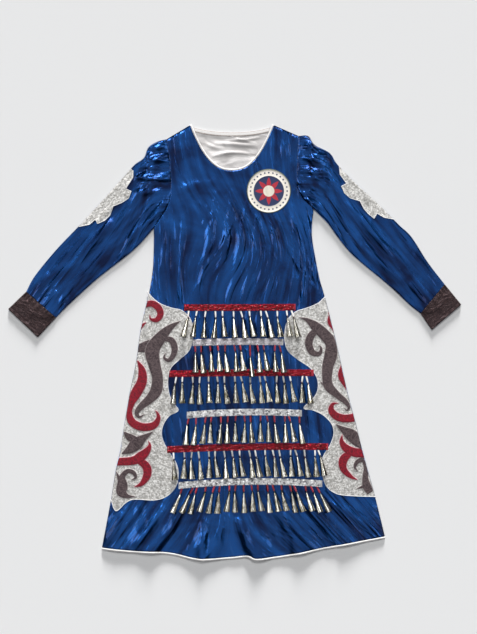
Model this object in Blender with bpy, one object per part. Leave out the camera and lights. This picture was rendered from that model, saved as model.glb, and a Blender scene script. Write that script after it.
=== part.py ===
"""A jingle dress laid flat on its back, front side up, sleeves spread.

The dress lies on the plane z = 0 with its neck towards +Y. Left and right are the wearer's, so the right
sleeve points to -X and the left one to +X. The origin is the middle of the dress, on the surface it lies on.
Tables are in millimetres, and everything built is in metres.
"""

import math
from collections import namedtuple

import bmesh
import bpy
import numpy as np
from mathutils.bvhtree import BVHTree

MM = 0.001

# Cloth and the gaps between its layers, in millimetres
BACK_WALL = 1.2
FRONT_WALL = 1.3
SLEEVE_WALL = 1.2
CUFF_WALL = 1.5
SEAM_GAP = 0.35
LAYER_GAP = 0.3
BACK_TOP = BACK_WALL
FRONT_LOW = BACK_TOP + LAYER_GAP + FRONT_WALL
FRONT_LOFT = 2.2
EDGE_ROUND = 16.0
SIDE_PANEL_LAYER = (LAYER_GAP, 1.4)
SCROLL_RIDE = (LAYER_GAP, 1.3)
TAPE_RIDE = (LAYER_GAP, 1.3)
BAND_RIDE = (LAYER_GAP, 1.3)
PATCH_LAYER = (LAYER_GAP, 1.6)
CUTTER_REACH = 60.0

# The body's two long edges: side seam from the hem up to the underarm, then the armhole up to the shoulder
Edge = namedtuple("Edge", "y x")
RIGHT_EDGE = [
    Edge(-610, -369), Edge(-554, -358), Edge(-421, -333), Edge(-346, -321), Edge(-294, -309),
    Edge(-213, -296), Edge(-142, -284), Edge(-54, -266), Edge(32, -254), Edge(108, -237),
    Edge(154, -227), Edge(208, -220), Edge(275, -218), Edge(308, -217), Edge(332, -202),
    Edge(367, -181), Edge(400, -172), Edge(451, -172), Edge(505, -177), Edge(547, -184), Edge(600, -194),
]
LEFT_EDGE = [
    Edge(-610, 425), Edge(-524, 405), Edge(-418, 379), Edge(-327, 354), Edge(-278, 341),
    Edge(-213, 325), Edge(-142, 306), Edge(-27, 280), Edge(28, 267), Edge(92, 251),
    Edge(140, 238), Edge(167, 230), Edge(221, 219), Edge(281, 209), Edge(324, 209), Edge(359, 212),
    Edge(374, 198), Edge(392, 182), Edge(421, 170), Edge(454, 168), Edge(518, 171), Edge(556, 172),
    Edge(600, 172),
]
RIGHT_GUIDE = [Edge(-700, -362), Edge(700, -155)]
LEFT_GUIDE = [Edge(-700, 439), Edge(700, 128)]
RIGHT_UNDERARM_Y, LEFT_UNDERARM_Y = 308, 359
RIGHT_SHOULDER_Y, LEFT_SHOULDER_Y = 547, 556

Spot = namedtuple("Spot", "x y")
HEM = [
    Spot(-358, -554), Spot(-312, -559), Spot(-262, -563), Spot(-177, -567), Spot(-97, -583),
    Spot(-17, -580), Spot(36, -575), Spot(62, -583), Spot(143, -573), Spot(250, -552), Spot(405, -524),
]
NECK_X, NECK_HALF_WIDTH = -7.5, 113.5
NECK_BOTTOM_Y, NECK_DEPTH, NECK_POWER = 462, 123, 2.4
BACK_NECK_DROP = 19
BACK_HEM_DROP = 3.0

# Rows and columns of the front's surface
SKIRT_ROWS = 16
ARMHOLE_ROWS = 8
STRAP_COLUMNS = (0.0, 0.05, 0.2, 0.46, 0.73, 1.0)
NECK_COLUMNS = 20
GRID_CELL = 60.0

# Soft folds: a ridge runs from (x0, y0) to (x1, y1), bowed sideways, and dies away at both ends
Fold = namedtuple("Fold", "x0 y0 x1 y1 bow height width")
FRONT_FOLDS = [
    # Bodice, where the cloth hangs in from the underarms and from under the chest patch
    Fold(-194, 340, -196, 100, 0, 3.4, 9), Fold(-166, 345, -166, 95, 0, 3.6, 9),
    Fold(-134, 350, -146, 100, -4, 3.2, 10), Fold(-48, 420, -112, 100, 10, 4.2, 10),
    Fold(-6, 415, -70, 95, 12, 4.6, 11), Fold(34, 390, -24, 100, 8, 4.2, 11),
    Fold(64, 350, 20, 95, 4, 3.6, 11), Fold(112, 350, 84, 95, 4, 3.8, 11),
    Fold(150, 370, 182, 100, 6, 4.4, 10), Fold(176, 380, 226, 120, 6, 4.0, 10),
    Fold(-150, 540, -70, 440, -8, 2.4, 12), Fold(140, 540, 118, 470, 0, 2.2, 12),
    Fold(-160, 400, -40, 430, 10, 2.2, 12),
    # Between the jingle rows
    Fold(-60, 60, -66, -20, 0, 1.2, 12), Fold(70, 64, 74, -30, 0, 1.2, 12),
    Fold(-110, -100, -104, -200, 0, 1.4, 12), Fold(120, -110, 128, -210, 0, 1.4, 12),
    # Skirt, from the last jingles down to the hem
    Fold(-190, -440, -300, -566, 8, 7.0, 15), Fold(-140, -450, -236, -572, 8, 6.4, 14),
    Fold(-92, -450, -92, -590, 6, 7.4, 13), Fold(-30, -440, -52, -590, 0, 4.6, 13),
    Fold(8, -470, 60, -592, -4, 8.6, 13), Fold(110, -440, 190, -575, -6, 6.0, 15),
    Fold(160, -420, 300, -550, 10, 6.8, 16), Fold(210, -420, 390, -520, 12, 6.2, 16),
    Fold(-300, -455, -345, -550, 0, 4.0, 12),
]
# Waves that lift the free hem off the back panel
Wave = namedtuple("Wave", "x height width")
HEM_WAVES = [Wave(-322, 4.0, 26), Wave(-236, 6.5, 30), Wave(-92, 7.0, 32), Wave(66, 8.0, 24),
             Wave(178, 6.0, 32), Wave(306, 5.5, 36)]
HEM_LIFT = 1.2
HEM_WAVE_REACH = 70.0

# Sleeves: the upper edge runs from the shoulder to the cuff, the lower one from the underarm
RIGHT_SLEEVE_UPPER = [
    Spot(-184, 547), Spot(-208, 541), Spot(-233, 525), Spot(-245, 497), Spot(-269, 479), Spot(-295, 450),
    Spot(-353, 385), Spot(-418, 315), Spot(-482, 248), Spot(-539, 178), Spot(-562, 136),
]
RIGHT_SLEEVE_LOWER = [
    Spot(-217, 308), Spot(-255, 265), Spot(-293, 231), Spot(-369, 172), Spot(-444, 104), Spot(-482, 66),
]
RIGHT_CUFF_TIPS = [Spot(-611, 89), Spot(-531, 13)]
LEFT_SLEEVE_UPPER = [
    Spot(172, 556), Spot(198, 556), Spot(216, 532), Spot(256, 510), Spot(276, 480), Spot(321, 433),
    Spot(393, 366), Spot(443, 316), Spot(477, 283), Spot(520, 216), Spot(566, 156),
]
LEFT_SLEEVE_LOWER = [
    Spot(212, 359), Spot(249, 322), Spot(276, 285), Spot(308, 245), Spot(344, 212), Spot(419, 150),
    Spot(470, 102), Spot(501, 77),
]
LEFT_CUFF_TIPS = [Spot(611, 101), Spot(531, 33)]
SLEEVE_RINGS = (0.0, 0.025, 0.06, 0.11, 0.17, 0.25, 0.34, 0.45, 0.57, 0.7, 0.83, 0.94, 1.0)
SLEEVE_EDGE_Z = 2.7
SLEEVE_FLAT = 5.2
CUFF_FLAT = 6.6
NEAR_EDGE = 0.14
HEAD_PLEATS = 5
HEAD_PLEAT_HEIGHT = 2.6
HEAD_PUFF_HEIGHT = 7.0
HEAD_REACH = 0.17
RIGHT_SLEEVE_FOLDS = [
    Fold(-176, 437, -275, 448, 4, 5.6, 11), Fold(-180, 505, -240, 492, 4, 5.2, 10),
    Fold(-186, 530, -226, 520, 0, 4.6, 9), Fold(-178, 404, -290, 398, -4, 3.6, 12),
    Fold(-180, 390, -232, 320, 4, 5.0, 10), Fold(-215, 352, -300, 262, 4, 3.8, 12),
    Fold(-280, 360, -440, 190, -8, 4.0, 14), Fold(-330, 330, -520, 130, 4, 3.6, 14),
    Fold(-340, 240, -470, 110, -6, 3.4, 13), Fold(-500, 190, -545, 120, 0, 3.0, 9),
    Fold(-478, 140, -520, 94, 0, 3.2, 9),
]
LEFT_SLEEVE_FOLDS = [
    Fold(176, 455, 262, 462, -4, 5.4, 11), Fold(180, 500, 244, 488, -4, 5.4, 10),
    Fold(184, 530, 228, 512, 0, 4.8, 9), Fold(172, 432, 292, 404, 4, 4.4, 11),
    Fold(176, 415, 232, 352, -4, 5.0, 10), Fold(225, 372, 300, 290, -4, 3.6, 12),
    Fold(300, 380, 440, 190, 8, 4.0, 14), Fold(346, 340, 530, 120, -4, 3.8, 14),
    Fold(330, 262, 480, 130, 6, 3.4, 13), Fold(480, 240, 540, 150, 0, 3.0, 10),
    Fold(470, 160, 512, 104, 0, 3.0, 9),
]

# Bindings, in millimetres
BINDING_WIDTH = 5.0
BINDING_PROUD = 0.4
BACK_BAND_WIDTH = 11.0
BACK_BAND_LAYER = (1.5, 2.5)
BACK_BAND_INSET = 14.0
BACK_HEM_BINDING_TOP = 1.6

# Side panels of silver cloth: the scalloped edge that shows, from the top down to the bottom
RIGHT_PANEL_EDGE = [
    Spot(-236, 136), Spot(-220, 118), Spot(-200, 103), Spot(-172, 92), Spot(-143, 85), Spot(-122, 66),
    Spot(-113, 40), Spot(-113, 6), Spot(-124, -24), Spot(-150, -48), Spot(-172, -70), Spot(-180, -100),
    Spot(-178, -134), Spot(-168, -162), Spot(-152, -184), Spot(-176, -199), Spot(-192, -222), Spot(-197, -248),
    Spot(-190, -274), Spot(-172, -304), Spot(-156, -332), Spot(-152, -362), Spot(-160, -392), Spot(-184, -416),
    Spot(-216, -426), Spot(-268, -424), Spot(-292, -432), Spot(-320, -455), Spot(-334, -424),
]
LEFT_PANEL_EDGE = [
    Spot(244, 122), Spot(224, 104), Spot(196, 92), Spot(166, 82), Spot(146, 64), Spot(136, 34),
    Spot(135, 4), Spot(144, -24), Spot(172, -48), Spot(204, -70), Spot(222, -98), Spot(224, -128),
    Spot(212, -152), Spot(186, -178), Spot(212, -184), Spot(240, -198), Spot(262, -222), Spot(267, -248),
    Spot(258, -276), Spot(240, -306), Spot(235, -332), Spot(238, -364), Spot(250, -392), Spot(278, -410),
    Spot(322, -415), Spot(382, -417),
]
PANEL_OVERHANG = 45

# Sleeve panels of the same silver cloth, cut in leaf points
RIGHT_SLEEVE_PANEL = [
    Spot(-274, 462), Spot(-274, 444), Spot(-294, 413), Spot(-279, 406), Spot(-286, 388), Spot(-304, 376),
    Spot(-328, 366), Spot(-336, 342), Spot(-350, 328), Spot(-370, 319), Spot(-374, 332), Spot(-391, 317),
    Spot(-420, 311),
]
LEFT_SLEEVE_PANEL = [
    Spot(282, 474), Spot(284, 452), Spot(302, 427), Spot(288, 420), Spot(296, 402), Spot(312, 388),
    Spot(338, 380), Spot(348, 360), Spot(360, 346), Spot(376, 333), Spot(384, 347), Spot(402, 336),
    Spot(428, 331),
]

# Scrolls: each stroke is a row of points down its middle, with its width there
Stroke = namedtuple("Stroke", "x y width")
Scroll = namedtuple("Scroll", "name material strokes")
SCROLLS = [
    Scroll("right_scroll_1", "red_applique", [[
        Stroke(-246, 98, 12), Stroke(-225, 104, 17), Stroke(-207, 94, 19), Stroke(-200, 76, 18),
        Stroke(-210, 60, 14), Stroke(-226, 62, 8), Stroke(-229, 74, 2)]]),
    Scroll("right_scroll_2", "taupe_applique", [
        [Stroke(-146, 58, 2), Stroke(-172, 38, 16), Stroke(-205, 8, 26), Stroke(-226, -30, 31),
         Stroke(-216, -75, 30), Stroke(-206, -115, 28), Stroke(-222, -152, 24), Stroke(-248, -172, 18),
         Stroke(-262, -192, 14), Stroke(-252, -207, 10), Stroke(-240, -199, 2)],
        [Stroke(-203, 12, 10), Stroke(-176, 2, 18), Stroke(-164, -22, 19), Stroke(-172, -46, 15),
         Stroke(-188, -46, 10), Stroke(-190, -30, 2)]]),
    Scroll("right_scroll_3", "red_applique", [[
        Stroke(-263, -44, 2), Stroke(-252, -78, 15), Stroke(-253, -112, 20), Stroke(-270, -146, 20),
        Stroke(-288, -180, 18), Stroke(-284, -212, 18), Stroke(-262, -230, 18), Stroke(-232, -230, 16),
        Stroke(-209, -214, 13), Stroke(-205, -196, 8), Stroke(-214, -184, 2)]]),
    Scroll("right_scroll_4", "taupe_applique", [
        [Stroke(-290, -238, 6), Stroke(-280, -256, 22), Stroke(-274, -280, 26), Stroke(-286, -299, 17),
         Stroke(-298, -291, 3)],
        [Stroke(-290, -260, 14), Stroke(-258, -254, 14), Stroke(-218, -243, 2)]]),
    Scroll("right_scroll_5", "red_applique", [
        [Stroke(-325, -322, 22), Stroke(-286, -322, 22), Stroke(-254, -308, 24), Stroke(-234, -286, 15),
         Stroke(-237, -266, 2)],
        [Stroke(-266, -314, 14), Stroke(-239, -332, 22), Stroke(-233, -357, 20), Stroke(-249, -379, 12),
         Stroke(-272, -390, 2)]]),
    Scroll("right_scroll_6", "taupe_applique", [
        [Stroke(-272, -372, 2), Stroke(-264, -360, 10), Stroke(-274, -348, 14), Stroke(-293, -352, 18),
         Stroke(-306, -376, 24), Stroke(-308, -400, 26), Stroke(-292, -413, 18), Stroke(-266, -414, 2)]]),
    Scroll("left_scroll_1", "red_applique", [[
        Stroke(256, 80, 2), Stroke(257, 54, 15), Stroke(270, 28, 4)]]),
    Scroll("left_scroll_2", "taupe_applique", [
        [Stroke(168, 70, 2), Stroke(200, 58, 13), Stroke(228, 34, 24), Stroke(252, 4, 28),
         Stroke(259, -34, 29), Stroke(251, -74, 30), Stroke(256, -112, 28), Stroke(278, -142, 24),
         Stroke(301, -160, 20), Stroke(309, -180, 12), Stroke(296, -186, 7), Stroke(292, -175, 2)],
        [Stroke(216, 44, 12), Stroke(202, 16, 20), Stroke(204, -12, 19), Stroke(220, -28, 14),
         Stroke(232, -16, 9), Stroke(228, 0, 2)]]),
    Scroll("left_scroll_3", "red_applique", [[
        Stroke(288, -56, 2), Stroke(288, -86, 14), Stroke(302, -128, 2)]]),
    Scroll("left_scroll_4", "red_applique", [[
        Stroke(284, -167, 2), Stroke(264, -169, 12), Stroke(259, -190, 18), Stroke(282, -208, 20),
        Stroke(334, -204, 20)]]),
    Scroll("left_scroll_5", "taupe_applique", [[
        Stroke(272, -226, 2), Stroke(298, -240, 12), Stroke(324, -258, 30), Stroke(354, -284, 14)]]),
    Scroll("left_scroll_6", "red_applique", [
        [Stroke(286, -248, 2), Stroke(289, -276, 14), Stroke(314, -296, 22), Stroke(360, -306, 22)],
        [Stroke(316, -294, 12), Stroke(297, -320, 20), Stroke(302, -348, 16), Stroke(330, -374, 2)]]),
    Scroll("left_scroll_7", "taupe_applique", [
        [Stroke(342, -352, 2), Stroke(334, -338, 10), Stroke(346, -326, 14), Stroke(359, -342, 17),
         Stroke(362, -372, 22), Stroke(372, -408, 22)],
        [Stroke(366, -388, 14), Stroke(328, -398, 2)]]),
]
STROKE_STEPS = 2
EDGE_INSET = 1.5

# Chest patch
PATCH_CENTRE, PATCH_RADIUS, PATCH_SIDES = Spot(92, 407), 59.5, 32

# Rows of jingles: a band hides the tape that the loops are sewn to. lean is how far the cones' tips swing
# sideways at the row's right end, its middle and its left end
Row = namedtuple("Row", "band material x0 x1 y0 y_mid y1 count first last lean_right lean_mid lean_left")
ROWS = [
    Row("band_1", "red_band", -136, 164, 93, 93, 94, 13, -125, 160, -15, 12, 12),
    Row("band_2", "silver_band", -113, 131, -2, 1, 0, 12, -110, 124, 5, 8, 8),
    Row("band_3", "red_band", -176, 213, -86, -83, -83, 17, -160, 198, -6, 10, 6),
    Row("band_4", "silver_band", -129, 181, -197, -189, -192, 15, -123, 172, -10, 0, 12),
    Row("band_5", "red_band", -182, 252, -290, -283, -282, 19, -160, 232, -1, 12, 10),
    Row("band_6", "silver_band", -151, 236, -387, -376, -382, 19, -138, 226, -30, 6, 28),
]
BAND_WIDTH = 17.5
TAPE_WIDTH = 6.0
TAPE_END = 4.0
BAND_PIECES = 14
LOOP_LENGTH = 17.0
LOOP_HALF_WIDTH = 1.9
CONE_LENGTH = 56.0
CONE_TOP_RADIUS, CONE_MOUTH_RADIUS = 2.5, 7.6
CONE_WALL = 0.9
CONE_BORE_DEPTH = 0.8
CONE_SIDES = 5
CONE_CLEARANCE = 0.5
LEAN_WOBBLE = 1.6

COLOURS = {
    "blue_cloth": ("blue lame", (0.010, 0.062, 0.300), 0.35, 0.8),
    "lining_cloth": ("pale reverse of the lame", (0.62, 0.60, 0.60), 0.6, 0.2),
    "white_binding": ("white binding", (0.82, 0.80, 0.80), 0.7, 0.0),
    "silver_cloth": ("silver glitter cloth", (0.58, 0.57, 0.55), 0.4, 0.6),
    "red_applique": ("red applique cloth", (0.33, 0.012, 0.030), 0.6, 0.1),
    "taupe_applique": ("taupe applique cloth", (0.095, 0.066, 0.066), 0.6, 0.2),
    "cuff_cloth": ("charcoal cuff cloth", (0.060, 0.045, 0.043), 0.5, 0.4),
    "red_band": ("red foil band", (0.38, 0.008, 0.012), 0.3, 0.7),
    "silver_band": ("silver foil band", (0.66, 0.64, 0.66), 0.3, 0.8),
    "jingle_metal": ("tinned steel", (0.60, 0.58, 0.52), 0.25, 1.0),
    "patch_cloth": ("cream patch", (0.75, 0.71, 0.62), 0.7, 0.0),
}


# Curves and folds

def smooth_curve(points, steps):
    """Points on a smooth curve through the given ones, with `steps` of them to each span."""
    p = np.array(points, float)
    p = np.vstack([2 * p[0] - p[1], p, 2 * p[-1] - p[-2]])
    t = np.linspace(0, 1, steps, endpoint=False)[:, None]
    spans = [
        0.5 * (2 * b + (c - a) * t + (2 * a - 5 * b + 4 * c - d) * t**2 + (3 * b - a - 3 * c + d) * t**3)
        for a, b, c, d in zip(p, p[1:], p[2:], p[3:])
    ]
    return np.vstack(spans + [p[-2]])


def lengths_along(curve):
    """How far along it each point of a curve lies, from 0 at its start to 1 at its end."""
    steps = np.linalg.norm(np.diff(curve, axis=0), axis=1)
    run = np.concatenate([[0.0], np.cumsum(steps)])
    return run / run[-1]


def at_fractions(curve, fractions):
    run = lengths_along(curve)
    return np.column_stack([np.interp(fractions, run, curve[:, k]) for k in range(curve.shape[1])])


RIGHT_CURVE = smooth_curve(RIGHT_EDGE, 6)
LEFT_CURVE = smooth_curve(LEFT_EDGE, 6)
HEM_CURVE = smooth_curve(HEM, 6)


def right_x(y):
    return np.interp(y, RIGHT_CURVE[:, 0], RIGHT_CURVE[:, 1])


def left_x(y):
    return np.interp(y, LEFT_CURVE[:, 0], LEFT_CURVE[:, 1])


def across(u, y):
    """The x of a point the fraction u of the way from the right edge to the left edge.

    Columns of points follow two straight guides, and bend with the real edges only close to them.
    """
    right_guide = np.interp(y, [p.y for p in RIGHT_GUIDE], [p.x for p in RIGHT_GUIDE])
    left_guide = np.interp(y, [p.y for p in LEFT_GUIDE], [p.x for p in LEFT_GUIDE])
    x = right_guide + (left_guide - right_guide) * u
    return x + (right_x(y) - right_guide) * (1 - u) ** 5 + (left_x(y) - left_guide) * u**5


NECK_TOP_Y = NECK_BOTTOM_Y + NECK_DEPTH
RIGHT_NECK_X = NECK_X - NECK_HALF_WIDTH
LEFT_NECK_X = NECK_X + NECK_HALF_WIDTH
RIGHT_TIP = Spot(float(right_x(RIGHT_SHOULDER_Y)), RIGHT_SHOULDER_Y)
LEFT_TIP = Spot(float(left_x(LEFT_SHOULDER_Y)), LEFT_SHOULDER_Y)


def top_y(x):
    """The front's top edge: a sloping shoulder, the scooped neckline and the other shoulder."""
    if x < RIGHT_NECK_X:
        return float(np.interp(x, [RIGHT_TIP.x, RIGHT_NECK_X], [RIGHT_TIP.y, NECK_TOP_Y]))
    if x > LEFT_NECK_X:
        return float(np.interp(x, [LEFT_NECK_X, LEFT_TIP.x], [NECK_TOP_Y, LEFT_TIP.y]))
    return NECK_BOTTOM_Y + NECK_DEPTH * (abs(x - NECK_X) / NECK_HALF_WIDTH) ** NECK_POWER


def column_ends(u):
    """The y at the hem and at the top of the column that keeps the fraction u across the body."""
    bottom, top = -570.0, 540.0
    for _ in range(12):
        bottom = float(np.interp(across(u, bottom), HEM_CURVE[:, 0], HEM_CURVE[:, 1]))
        top = top_y(across(u, top))
    return bottom, top


def fold_height(x, y, folds):
    total = 0.0
    for f in folds:
        ax, ay = f.x1 - f.x0, f.y1 - f.y0
        length = math.hypot(ax, ay)
        t = ((x - f.x0) * ax + (y - f.y0) * ay) / length**2
        if not 0 < t < 1:
            continue
        side = ((y - f.y0) * ax - (x - f.x0) * ay) / length - f.bow * 4 * t * (1 - t)
        total += f.height * math.sin(math.pi * t) ** 0.7 * math.exp(-((side / f.width) ** 2))
    return total


def edge_rise(distance):
    """0 at a folded edge of the cloth, rounding up to 1 where the layers lie free."""
    near = 1 - min(max(distance / EDGE_ROUND, 0.0), 1.0)
    return math.sqrt(1 - near * near)


def front_height(x, y, shoulder_distance):
    """Height of the front's outer side above the surface, in millimetres."""
    right = edge_rise(x - right_x(y)) if y < RIGHT_UNDERARM_Y else 1.0
    left = edge_rise(left_x(y) - x) if y < LEFT_UNDERARM_Y else 1.0
    rise = min(right, left, edge_rise(shoulder_distance))
    above_hem = y - float(np.interp(x, HEM_CURVE[:, 0], HEM_CURVE[:, 1]))
    waves = sum(w.height * math.exp(-(((x - w.x) / w.width) ** 2)) for w in HEM_WAVES)
    hem = (HEM_LIFT + waves * max(rise, 0.3)) * math.exp(-((above_hem / HEM_WAVE_REACH) ** 2))
    return FRONT_LOW + FRONT_LOFT * rise + fold_height(x, y, FRONT_FOLDS) * rise + hem


# Meshes and objects

def material(name):
    made = bpy.data.materials.get(name)
    if made is None:
        _, colour, roughness, metallic = COLOURS[name]
        made = bpy.data.materials.new(name)
        made.use_nodes = True
        shader = made.node_tree.nodes["Principled BSDF"]
        shader.inputs["Base Color"].default_value = (*colour, 1)
        shader.inputs["Roughness"].default_value = roughness
        shader.inputs["Metallic"].default_value = metallic
    return made


def add_object(name, points, faces, material_name=None):
    """A closed mesh object from points in millimetres. Its faces are turned to point outwards."""
    bm = bmesh.new()
    verts = [bm.verts.new([c * MM for c in p]) for p in points]
    for face in faces:
        bm.faces.new([verts[k] for k in face])
    bmesh.ops.recalc_face_normals(bm, faces=bm.faces)
    mesh = bpy.data.meshes.new(name)
    bm.to_mesh(mesh)
    bm.free()
    obj = bpy.data.objects.new(name, mesh)
    bpy.context.scene.collection.objects.link(obj)
    if material_name:
        mesh.materials.append(material(material_name))
    else:
        obj.hide_render = True
        obj.display_type = "WIRE"
    return obj


def boolean(obj, other, operation):
    modifier = obj.modifiers.new(operation.lower(), "BOOLEAN")
    modifier.operation = operation
    modifier.object = other
    modifier.solver = "EXACT"
    return obj


def grid_wall(name, low, high, material_name=None):
    """A wall between two grids of points, as triangles whose diagonals run the same way on both sides."""
    rows, columns = len(low), len(low[0])
    points = [p for grid in (low, high) for row in grid for p in row]
    faces = []

    def index(side, i, j):
        return (side * rows + i) * columns + j

    for side in (0, 1):
        for i in range(rows - 1):
            for j in range(columns - 1):
                a, b = index(side, i, j), index(side, i, j + 1)
                c, d = index(side, i + 1, j + 1), index(side, i + 1, j)
                faces += [(a, b, c), (a, c, d)]
    rim = [(0, j) for j in range(columns - 1)] + [(i, columns - 1) for i in range(rows - 1)]
    rim += [(rows - 1, j) for j in range(columns - 1, 0, -1)] + [(i, 0) for i in range(rows - 1, 0, -1)]
    for (i, j), (k, m) in zip(rim, rim[1:] + rim[:1]):
        faces += [(index(0, i, j), index(0, k, m), index(1, k, m)), (index(0, i, j), index(1, k, m), index(1, i, j))]
    return add_object(name, points, faces, material_name)


def prism(name, outline):
    """A tall closed block over a plan outline, used to cut the cloth that lies inside it."""
    count = len(outline)
    points = [(x, y, z) for z in (-1.0, CUTTER_REACH) for x, y in outline]
    faces = [list(range(count)), list(range(count, 2 * count))]
    for k in range(count):
        m = (k + 1) % count
        faces.append((k, m, count + m, count + k))
    return add_object(name, points, faces)


def raised(grid, height):
    return [[(x, y, z + height) for x, y, z in row] for row in grid]


def layer(name, grid, heights, cutter, material_name):
    """Cloth that lies on a panel: the panel's own surface moved out, trimmed to the cutter's outline."""
    corners = np.array([v.co for v in cutter.data.vertices]) / MM
    low, high = corners.min(axis=0) - GRID_CELL, corners.max(axis=0) + GRID_CELL
    xs = np.array([[p[0] for p in row] for row in grid])
    ys = np.array([[p[1] for p in row] for row in grid])
    inside = (xs > low[0]) & (xs < high[0]) & (ys > low[1]) & (ys < high[1])
    rows, columns = np.where(inside.any(axis=1))[0], np.where(inside.any(axis=0))[0]
    i0, i1, j0, j1 = rows[0], rows[-1], columns[0], columns[-1]
    part = [row[j0:j1 + 1] for row in grid[i0:i1 + 1]]
    wall = grid_wall(name, raised(part, heights[0]), raised(part, heights[1]), material_name)
    return boolean(wall, cutter, "INTERSECT")


def surface_under(objects):
    """A function that gives the height, in millimetres, of the highest of these objects at a plan point."""
    graph = bpy.context.evaluated_depsgraph_get()
    trees = [BVHTree.FromObject(obj, graph) for obj in objects]

    def height(x, y):
        hits = [tree.ray_cast((x * MM, y * MM, CUTTER_REACH * MM), (0, 0, -1))[0] for tree in trees]
        return max([hit.z / MM for hit in hits if hit is not None], default=0.0)

    return height


# Body panels

def body_grid():
    """Points of the front's outer side, in rows from the hem up, each from the right edge to the left."""
    tries = np.linspace(0, 1, 201)
    neck_right, neck_left = np.interp([RIGHT_NECK_X, LEFT_NECK_X], across(tries, NECK_TOP_Y), tries)
    us = [neck_right * s for s in STRAP_COLUMNS]
    us += list(np.linspace(neck_right, neck_left, NECK_COLUMNS + 1)[1:-1])
    us += [1 - (1 - neck_left) * s for s in reversed(STRAP_COLUMNS)]
    right_bottom, right_top = column_ends(0.0)
    left_bottom, left_top = column_ends(1.0)
    right_arm = (RIGHT_UNDERARM_Y - right_bottom) / (right_top - right_bottom)
    left_arm = (LEFT_UNDERARM_Y - left_bottom) / (left_top - left_bottom)
    vs = list(np.linspace(0, right_arm, SKIRT_ROWS)) + [(right_arm + left_arm) / 2]
    vs += list(np.linspace(left_arm, 1, ARMHOLE_ROWS + 1))
    ends = [column_ends(u) for u in us]
    grid = []
    for v in vs:
        row = []
        for u, (bottom, top) in zip(us, ends):
            y = bottom + (top - bottom) * v
            x = float(across(u, y))
            on_shoulder = u <= neck_right or u >= neck_left
            row.append((x, y, front_height(x, y, top - y if on_shoulder else EDGE_ROUND)))
        grid.append(row)
    return grid, vs.index(right_arm), vs.index(left_arm)


def neck_columns():
    """Indices of the first and last column that end on the neckline."""
    first = len(STRAP_COLUMNS) - 1
    return first, first + NECK_COLUMNS


def back_outline(grid):
    """The back's plan, on the front's own edge points, with a shallow neckline and a slightly longer hem."""
    hem = [(x, y - BACK_HEM_DROP * math.sin(math.pi * k / (len(grid[0]) - 1)))
           for k, (x, y, _) in enumerate(grid[0])]
    first, last = neck_columns()
    left_side = [row[-1][:2] for row in grid[1:]]
    left_shoulder = [p[:2] for p in grid[-1][-2:last - 1:-1]]
    neck = [(p[0], back_neck_y(p[0])) for p in grid[-1][last - 1:first:-1]]
    right_shoulder = [p[:2] for p in grid[-1][first::-1]]
    right_side = [row[0][:2] for row in grid[-2:0:-1]]
    return hem + left_side + left_shoulder + neck + right_shoulder + right_side


def back_neck_y(x):
    part = (x - NECK_X) / NECK_HALF_WIDTH
    return NECK_TOP_Y - BACK_NECK_DROP * (1 - part * part) ** 0.7


def add_back_panel(grid):
    outline = back_outline(grid)
    count = len(outline)
    points = [(x, y, z) for z in (0.0, BACK_WALL) for x, y in outline]
    faces = [list(range(count)), list(range(count, 2 * count))]
    faces += [(k, (k + 1) % count, count + (k + 1) % count, count + k) for k in range(count)]
    return add_object("back_panel", points, faces, "lining_cloth")


def add_front_panel(grid):
    return grid_wall("front_panel", raised(grid, -FRONT_WALL), grid, "blue_cloth")


# Bindings

def offset_line(points, distance):
    """The plan line moved to its left by a distance, mitred at its corners."""
    p = np.array(points, float)[:, :2]
    steps = np.diff(p, axis=0)
    steps /= np.linalg.norm(steps, axis=1)[:, None]
    normals = np.column_stack([-steps[:, 1], steps[:, 0]])
    ends = np.vstack([normals[:1], normals, normals[-1:]])
    joined = ends[:-1] + ends[1:]
    joined /= (joined * ends[1:]).sum(axis=1)[:, None]
    return p + joined * distance


def strip_mesh(inner, outer, low, high, open_spans=()):
    """Points and faces of a bar between two plan lines. Its inner side is left open along `open_spans`."""
    points = []
    for a, b, z0, z1 in zip(inner, outer, low, high):
        points += [(*a, z0), (*b, z0), (*b, z1), (*a, z1)]
    count = len(inner)
    faces = [(0, 1, 2, 3), tuple(4 * (count - 1) + k for k in range(4))]
    for i in range(count - 1):
        for k in range(4):
            if k == 3 and i in open_spans:
                continue
            a, b = 4 * i + k, 4 * i + (k + 1) % 4
            faces += [(a, b, b + 4), (a, b + 4, a + 4)]
    return points, faces


def strip(name, inner, outer, low, high, material_name):
    return add_object(name, *strip_mesh(inner, outer, low, high), material_name)


def ride_heights(inner, outer, height):
    """How high a strip's sections lie so that its spans keep clear of the surface below."""
    spans = []
    for a, b, c, d in zip(inner, inner[1:], outer, outer[1:]):
        samples = [a + (b - a) * t + (c + (d - c) * t - a - (b - a) * t) * w
                   for t in np.linspace(0, 1, 5) for w in (0.0, 0.5, 1.0)]
        spans.append(max(height(*p) for p in samples))
    spans = np.array(spans)
    return np.maximum(np.append(spans[:1], spans), np.append(spans, spans[-1:]))


def riding_strip(name, inner, outer, ride, height, material_name):
    tops = ride_heights(inner, outer, height)
    return strip(name, inner, outer, tops + ride[0], tops + ride[1], material_name)


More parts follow.
